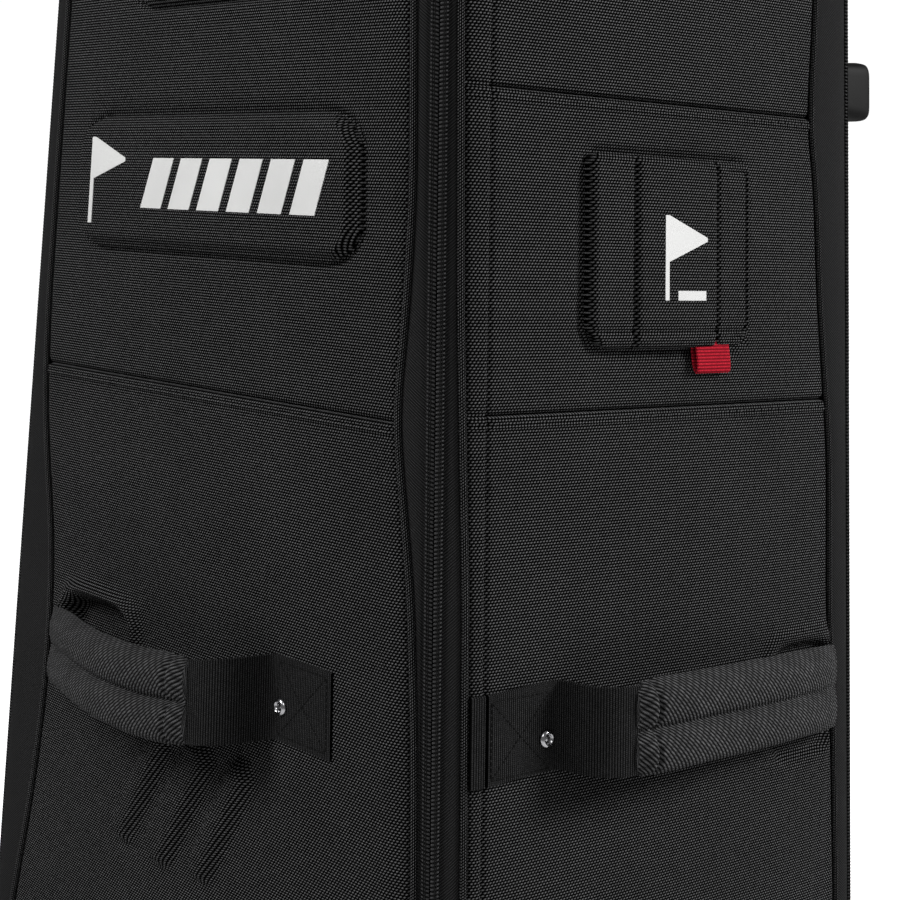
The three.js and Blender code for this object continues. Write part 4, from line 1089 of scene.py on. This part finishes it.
for face, (wall, place) in HANDLES.items():
    sewn, drop, bend, stand = HANG[face]
    level_at = lambda t, drop=drop: HANDLE_Z + np.interp(t, *zip(*drop))
    path = [(t, v * stand if v > 5 else v) for t, v in [(LOOP_START[face], 1.7), *LOOP]]
    web = strap(place, path, WEB_HALF, WEB_THICK, level_at)
    web = piece(f"{face}_handle_webbing", [web], WEB, None,
                [f"{face}_handle_patch", f"{face}_handle_loop"])
    start, stop = place(50.0, HANDLE_Z, 3.0) / 1000, place(50.0, HANDLE_Z, 14.0) / 1000
    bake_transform(web)
    grip = piece(f"{face}_handle_padded_grip", [grip_part(place, GRIP_IN, sewn, bend, level_at)], GRIP, None,
                 [f"{face}_handle_grip", f"{face}_handle_end"], sharp=180)
    start, stop = place(sewn - 2, HANDLE_Z, 4.0) / 1000, place(sewn - 60, HANDLE_Z, 24.0) / 1000
    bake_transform(grip)
    cross = boxed_cross(place, 3.5, 42, HANDLE_Z - CROSS_HALF, HANDLE_Z + CROSS_HALF, 3.0)
    piece(f"{face}_handle_stitching", cross, THREAD, wall)
    piece(f"{face}_handle_eyelet", [lathe(place, 40.0, HANDLE_Z - 4, rivet_profile)], STEEL, wall,
          [f"{face}_handle_rivet"])
tail = strap(HANDLES["right"][1], TAIL, WEB_HALF, WEB_THICK, level_at)
piece("right_handle_sewn_end", [tail], WEB, "case")
print("handles", list(HANDLES))

# %% [markdown]
# Badge, label flap and ribbon. A rounded plate sewn on a wall is a grid whose rows get shorter near
# its corners, by radius minus the circle's height there, so that the cloth's threads stay straight.
# %% Plate helper
def plate(place, a0, a1, z0, z1, low_r, high_r, height, under, na=80, wide=1.0):
    """A padded plate with rounded corners, wide times as long as they are high; height(a, z, edge) is
    measured out of the wall."""
    z = around(np.linspace(z0, z1, 40), z0, z1)
    v = around(np.linspace(0, a1 - a0, na), 0, a1 - a0) / (a1 - a0)
    from_low, from_high = z - z0, z1 - z
    cut = low_r - np.sqrt(np.maximum(low_r**2 - np.maximum(low_r - from_low, 0) ** 2, 0))
    cut = cut + high_r - np.sqrt(np.maximum(high_r**2 - np.maximum(high_r - from_high, 0) ** 2, 0))
    cut = cut * wide
    grid_z, grid_v = np.meshgrid(z, v, indexing="ij")
    a = a0 + cut[:, None] + grid_v * (a1 - a0 - 2 * cut[:, None])
    sides = np.minimum(a - a0 - cut[:, None], a1 - cut[:, None] - a)
    edge = np.minimum(sides, np.minimum(grid_z - z0, z1 - grid_z))
    return sheet(place, a, grid_z, height(a, grid_z, edge), np.full_like(a, under))


def decal(place, corners, height, n=14, m=10, thick=0.5):
    """A thin printed patch: corners are four (along, z), filled in bilinearly."""
    a, b, c, d = np.array(corners, float)
    u, w = np.meshgrid(np.linspace(0, 1, n), np.linspace(0, 1, m), indexing="ij")
    u, w = u[..., None], w[..., None]
    flat = (1 - u) * (1 - w) * a + u * (1 - w) * b + u * w * c + (1 - u) * w * d
    x, z = flat[..., 0], flat[..., 1]
    out = height(x, z)
    return sheet(place, x, z, out, out - thick)


def on_front(x, z, out):
    """A place on the front wall."""
    return on(front_s(x), z, out)


def on_right(y, z, out):
    """A place on the right-hand wall."""
    return on(right_s(y), z, out)


# %% Front badge
def badge_height(x, z, edge):
    """A small step up from the wall, a bevel 8 mm wide, and a flat field."""
    return 3.0 + edge_roll(edge, 1.8) + 5.0 * soft_step((edge - 1.0) / 6.0)


badge = plate(on_front, *BADGE, 21.0, 21.0, badge_height, 0.4, wide=1.6)
piece("front_badge_cloth", [badge], SHELL, "lid", ["front_badge"])
field = lambda x, z: np.full_like(x, 8.35)
marks = [decal(on_front, [(-112, 812), (-108, 812), (-108, 862), (-112, 862)], field, 4, 12),
         decal(on_front, [(-108, 838), (-72, 848), (-72, 850), (-108, 862)], field, 10, 8)]
WIDTH, SLANT = 22, 12
for x0 in range(-52, 128, 30):
    corners = [(x0, 822), (x0 + WIDTH, 822), (x0 + WIDTH + SLANT, 850), (x0 + SLANT, 850)]
    marks.append(decal(on_front, corners, field, 8, 10))
piece("front_badge_stripes", marks, WHITE, "lid")

# %% Label flap and ribbon
def flap_height(y, z, edge):
    """A pocket flap: side bands, a raised middle band with a crease at each side, a hem below."""
    band = soft_step((y + 39.5) / 2.5) * soft_step((23.5 - y) / 1.5)
    crown = 1.2 * np.sin(math.pi * np.clip((y + 38) / 60, 0, 1)) ** 0.6
    creases = 2.6 * dip(y + 40, 1.2) + 4.2 * dip(y - 24, 1.0)
    hem = 1.4 * dip(z - 770.0, 1.2) + 2.0 * dip(edge - 5.2, 0.9) * soft_step((y - 30) / 8)
    return 8.4 + edge_roll(edge, 5.0) + (0.9 + crown) * band - creases - hem


flap = plate(on_right, *FLAP, 15.0, 7.0, flap_height, 1.4)
piece("label_flap_cloth", [flap], SHELL, "label", ["label_flap"])
mark = lambda y, z: np.full_like(y, 10.65)
marks = [decal(on_right, [(-20, 786), (-17, 786), (-17, 830), (-20, 830)], mark, 3, 12),
         decal(on_right, [(-17, 806), (13, 817), (13, 819), (-17, 830)], mark, 10, 8),
         decal(on_right, [(-10, 786), (12, 786), (12, 791), (-10, 791)], mark, 8, 3)]
piece("label_flap_mark", marks, WHITE, "label")
loop_path = [(768, 2.6), (756, 2.8), (749, 3.4), (747, 5.0), (749, 6.6), (756, 6.4), (768, 5.6)]


def ribbon_place(z, y, out):
    """The ribbon runs down the wall, so its path is (z, out) and its width lies along y."""
    return on_right(y + 0.09 * (761 - z), z, out)


ribbon = strap(ribbon_place, loop_path, 13.6, 1.2, lambda z: 22.2 + 0 * z)
piece("red_pull_ribbon", [ribbon], RED, "label", ["pull_tab"])
window_height = lambda y, z, edge: 1.1 + edge_roll(edge, 0.5)
window = plate(on_right, -57.5, 39.5, 775.0, 846.0, 5.0, 5.0, window_height, -0.2, 30)
piece("label_window_vinyl", [window], VINYL, "cover_right", ["label_window"])

# %% [markdown]
# The moulded feet on the back flare towards their outer end and have a soft rim. Each section is a
# superellipse: |x|^n + |z|^n = 1 keeps the sides nearly flat and the corners round.
# %% Back bumpers
BUMPER_X, BUMPER_Z, SQUARE = 144.0, 911.0, 0.28
for side, sign in (("right", 1), ("left", -1)):
    depth = np.array([0, 1.5, 4, 12, 24, 36, 43, 46, 47.6, 48.6, 49.2])
    grow = np.array([27, 25.6, 25, 25.2, 26, 26.8, 27.4, 27.3, 26.4, 24.4, 20])
    rise = np.array([17.2, 16, 15.6, 15.8, 16.6, 17.3, 17.9, 17.8, 17.2, 15.6, 12])
    turn = np.arange(64) * 2 * math.pi / 64
    c, s = np.cos(turn), np.sin(turn)
    ex, ez = np.sign(c) * np.abs(c) ** SQUARE, np.sign(s) * np.abs(s) ** SQUARE
    x = sign * BUMPER_X + grow[:, None] * ex
    rings = lean(np.stack([x, HALF_D + 0.5 + depth[:, None] + 0 * x, BUMPER_Z + rise[:, None] * ez], -1))
    foot = tube(rings, np.zeros((len(depth), 65, 2)))
    piece(f"back_bumper_moulding_{side}", [foot], BUMPER, "case", [f"back_bumper_{side}"],
          sharp=60)

# %% [markdown]
# Inside, the walls are lined with quilted fleece. The lining is the same kind of slab as a panel,
# with a diamond pattern of dips where two families of slanted lines are stitched.
# %% Lining
def quilt(a, b, pitch=42.0, depth=1.6):
    """Diamonds: dips along a + b and a - b, each every pitch."""
    one = np.abs(np.mod((a + b) / pitch, 1) - 0.5) * 2
    two = np.abs(np.mod((a - b) / pitch, 1) - 0.5) * 2
    return -depth * (np.exp(-(1 - one) * 9) + np.exp(-(1 - two) * 9))


OVER_TAPE = TAPE_W - 2
for side, a, b in (("right", OVER_TAPE, BR + OVER_TAPE), ("left", BL - OVER_TAPE, FL - OVER_TAPE)):
    s, z = np.linspace(a, b, 100), np.linspace(WALL_FOOT, BODY_TOP - 0.5, 220)
    grid_s, grid_z = np.meshgrid(s, z, indexing="ij")
    flap_out = 14.0 * (1 - soft_step((grid_s - a) / 6)) + 14.0 * (1 - soft_step((b - grid_s) / 6))
    inner = -23.6 + flap_out - quilt(grid_s, grid_z) * 0.5
    wall = sheet(on, grid_s, grid_z, -18.2 + flap_out, inner)
    piece(f"inner_wall_lining_{side}", [wall], LINING, "case", [f"inner_wall_{side}"])
low, high = (np.array(corner) * 1000 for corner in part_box("base_pad"))
x, y = np.meshgrid(np.linspace(low[0], high[0], 90), np.linspace(low[1], high[1], 60), indexing="ij")
edge = np.minimum(np.minimum(x - low[0], high[0] - x), np.minimum(y - low[1], high[1] - y))
raised = high[2] + edge_roll(edge, 5.0) + quilt(x, y)
pad_part = sheet(lambda x, y, z: np.stack([x, y, z], -1), x, y, raised, np.full_like(x, low[2]))
pad = piece("floor_pad_lining", [pad_part], LINING, "case", ["base_pad"])

# %% [markdown]
# The hard parts keep their imported shapes. Each gets its finish by the record's slot.
# %% Finishes on the hard parts
FINISHES = {"moulded": PLASTIC, "rubber": RUBBER, "steel": STEEL, "gunmetal": GUNMETAL}
for part in frame["record"]["subparts"]:
    if part["material_slot"] in FINISHES:
        node = frame["nodes"][part["node"]]
        node.data.materials.clear()
        node.data.materials.append(FINISHES[part["material_slot"]])
print("hard parts done")
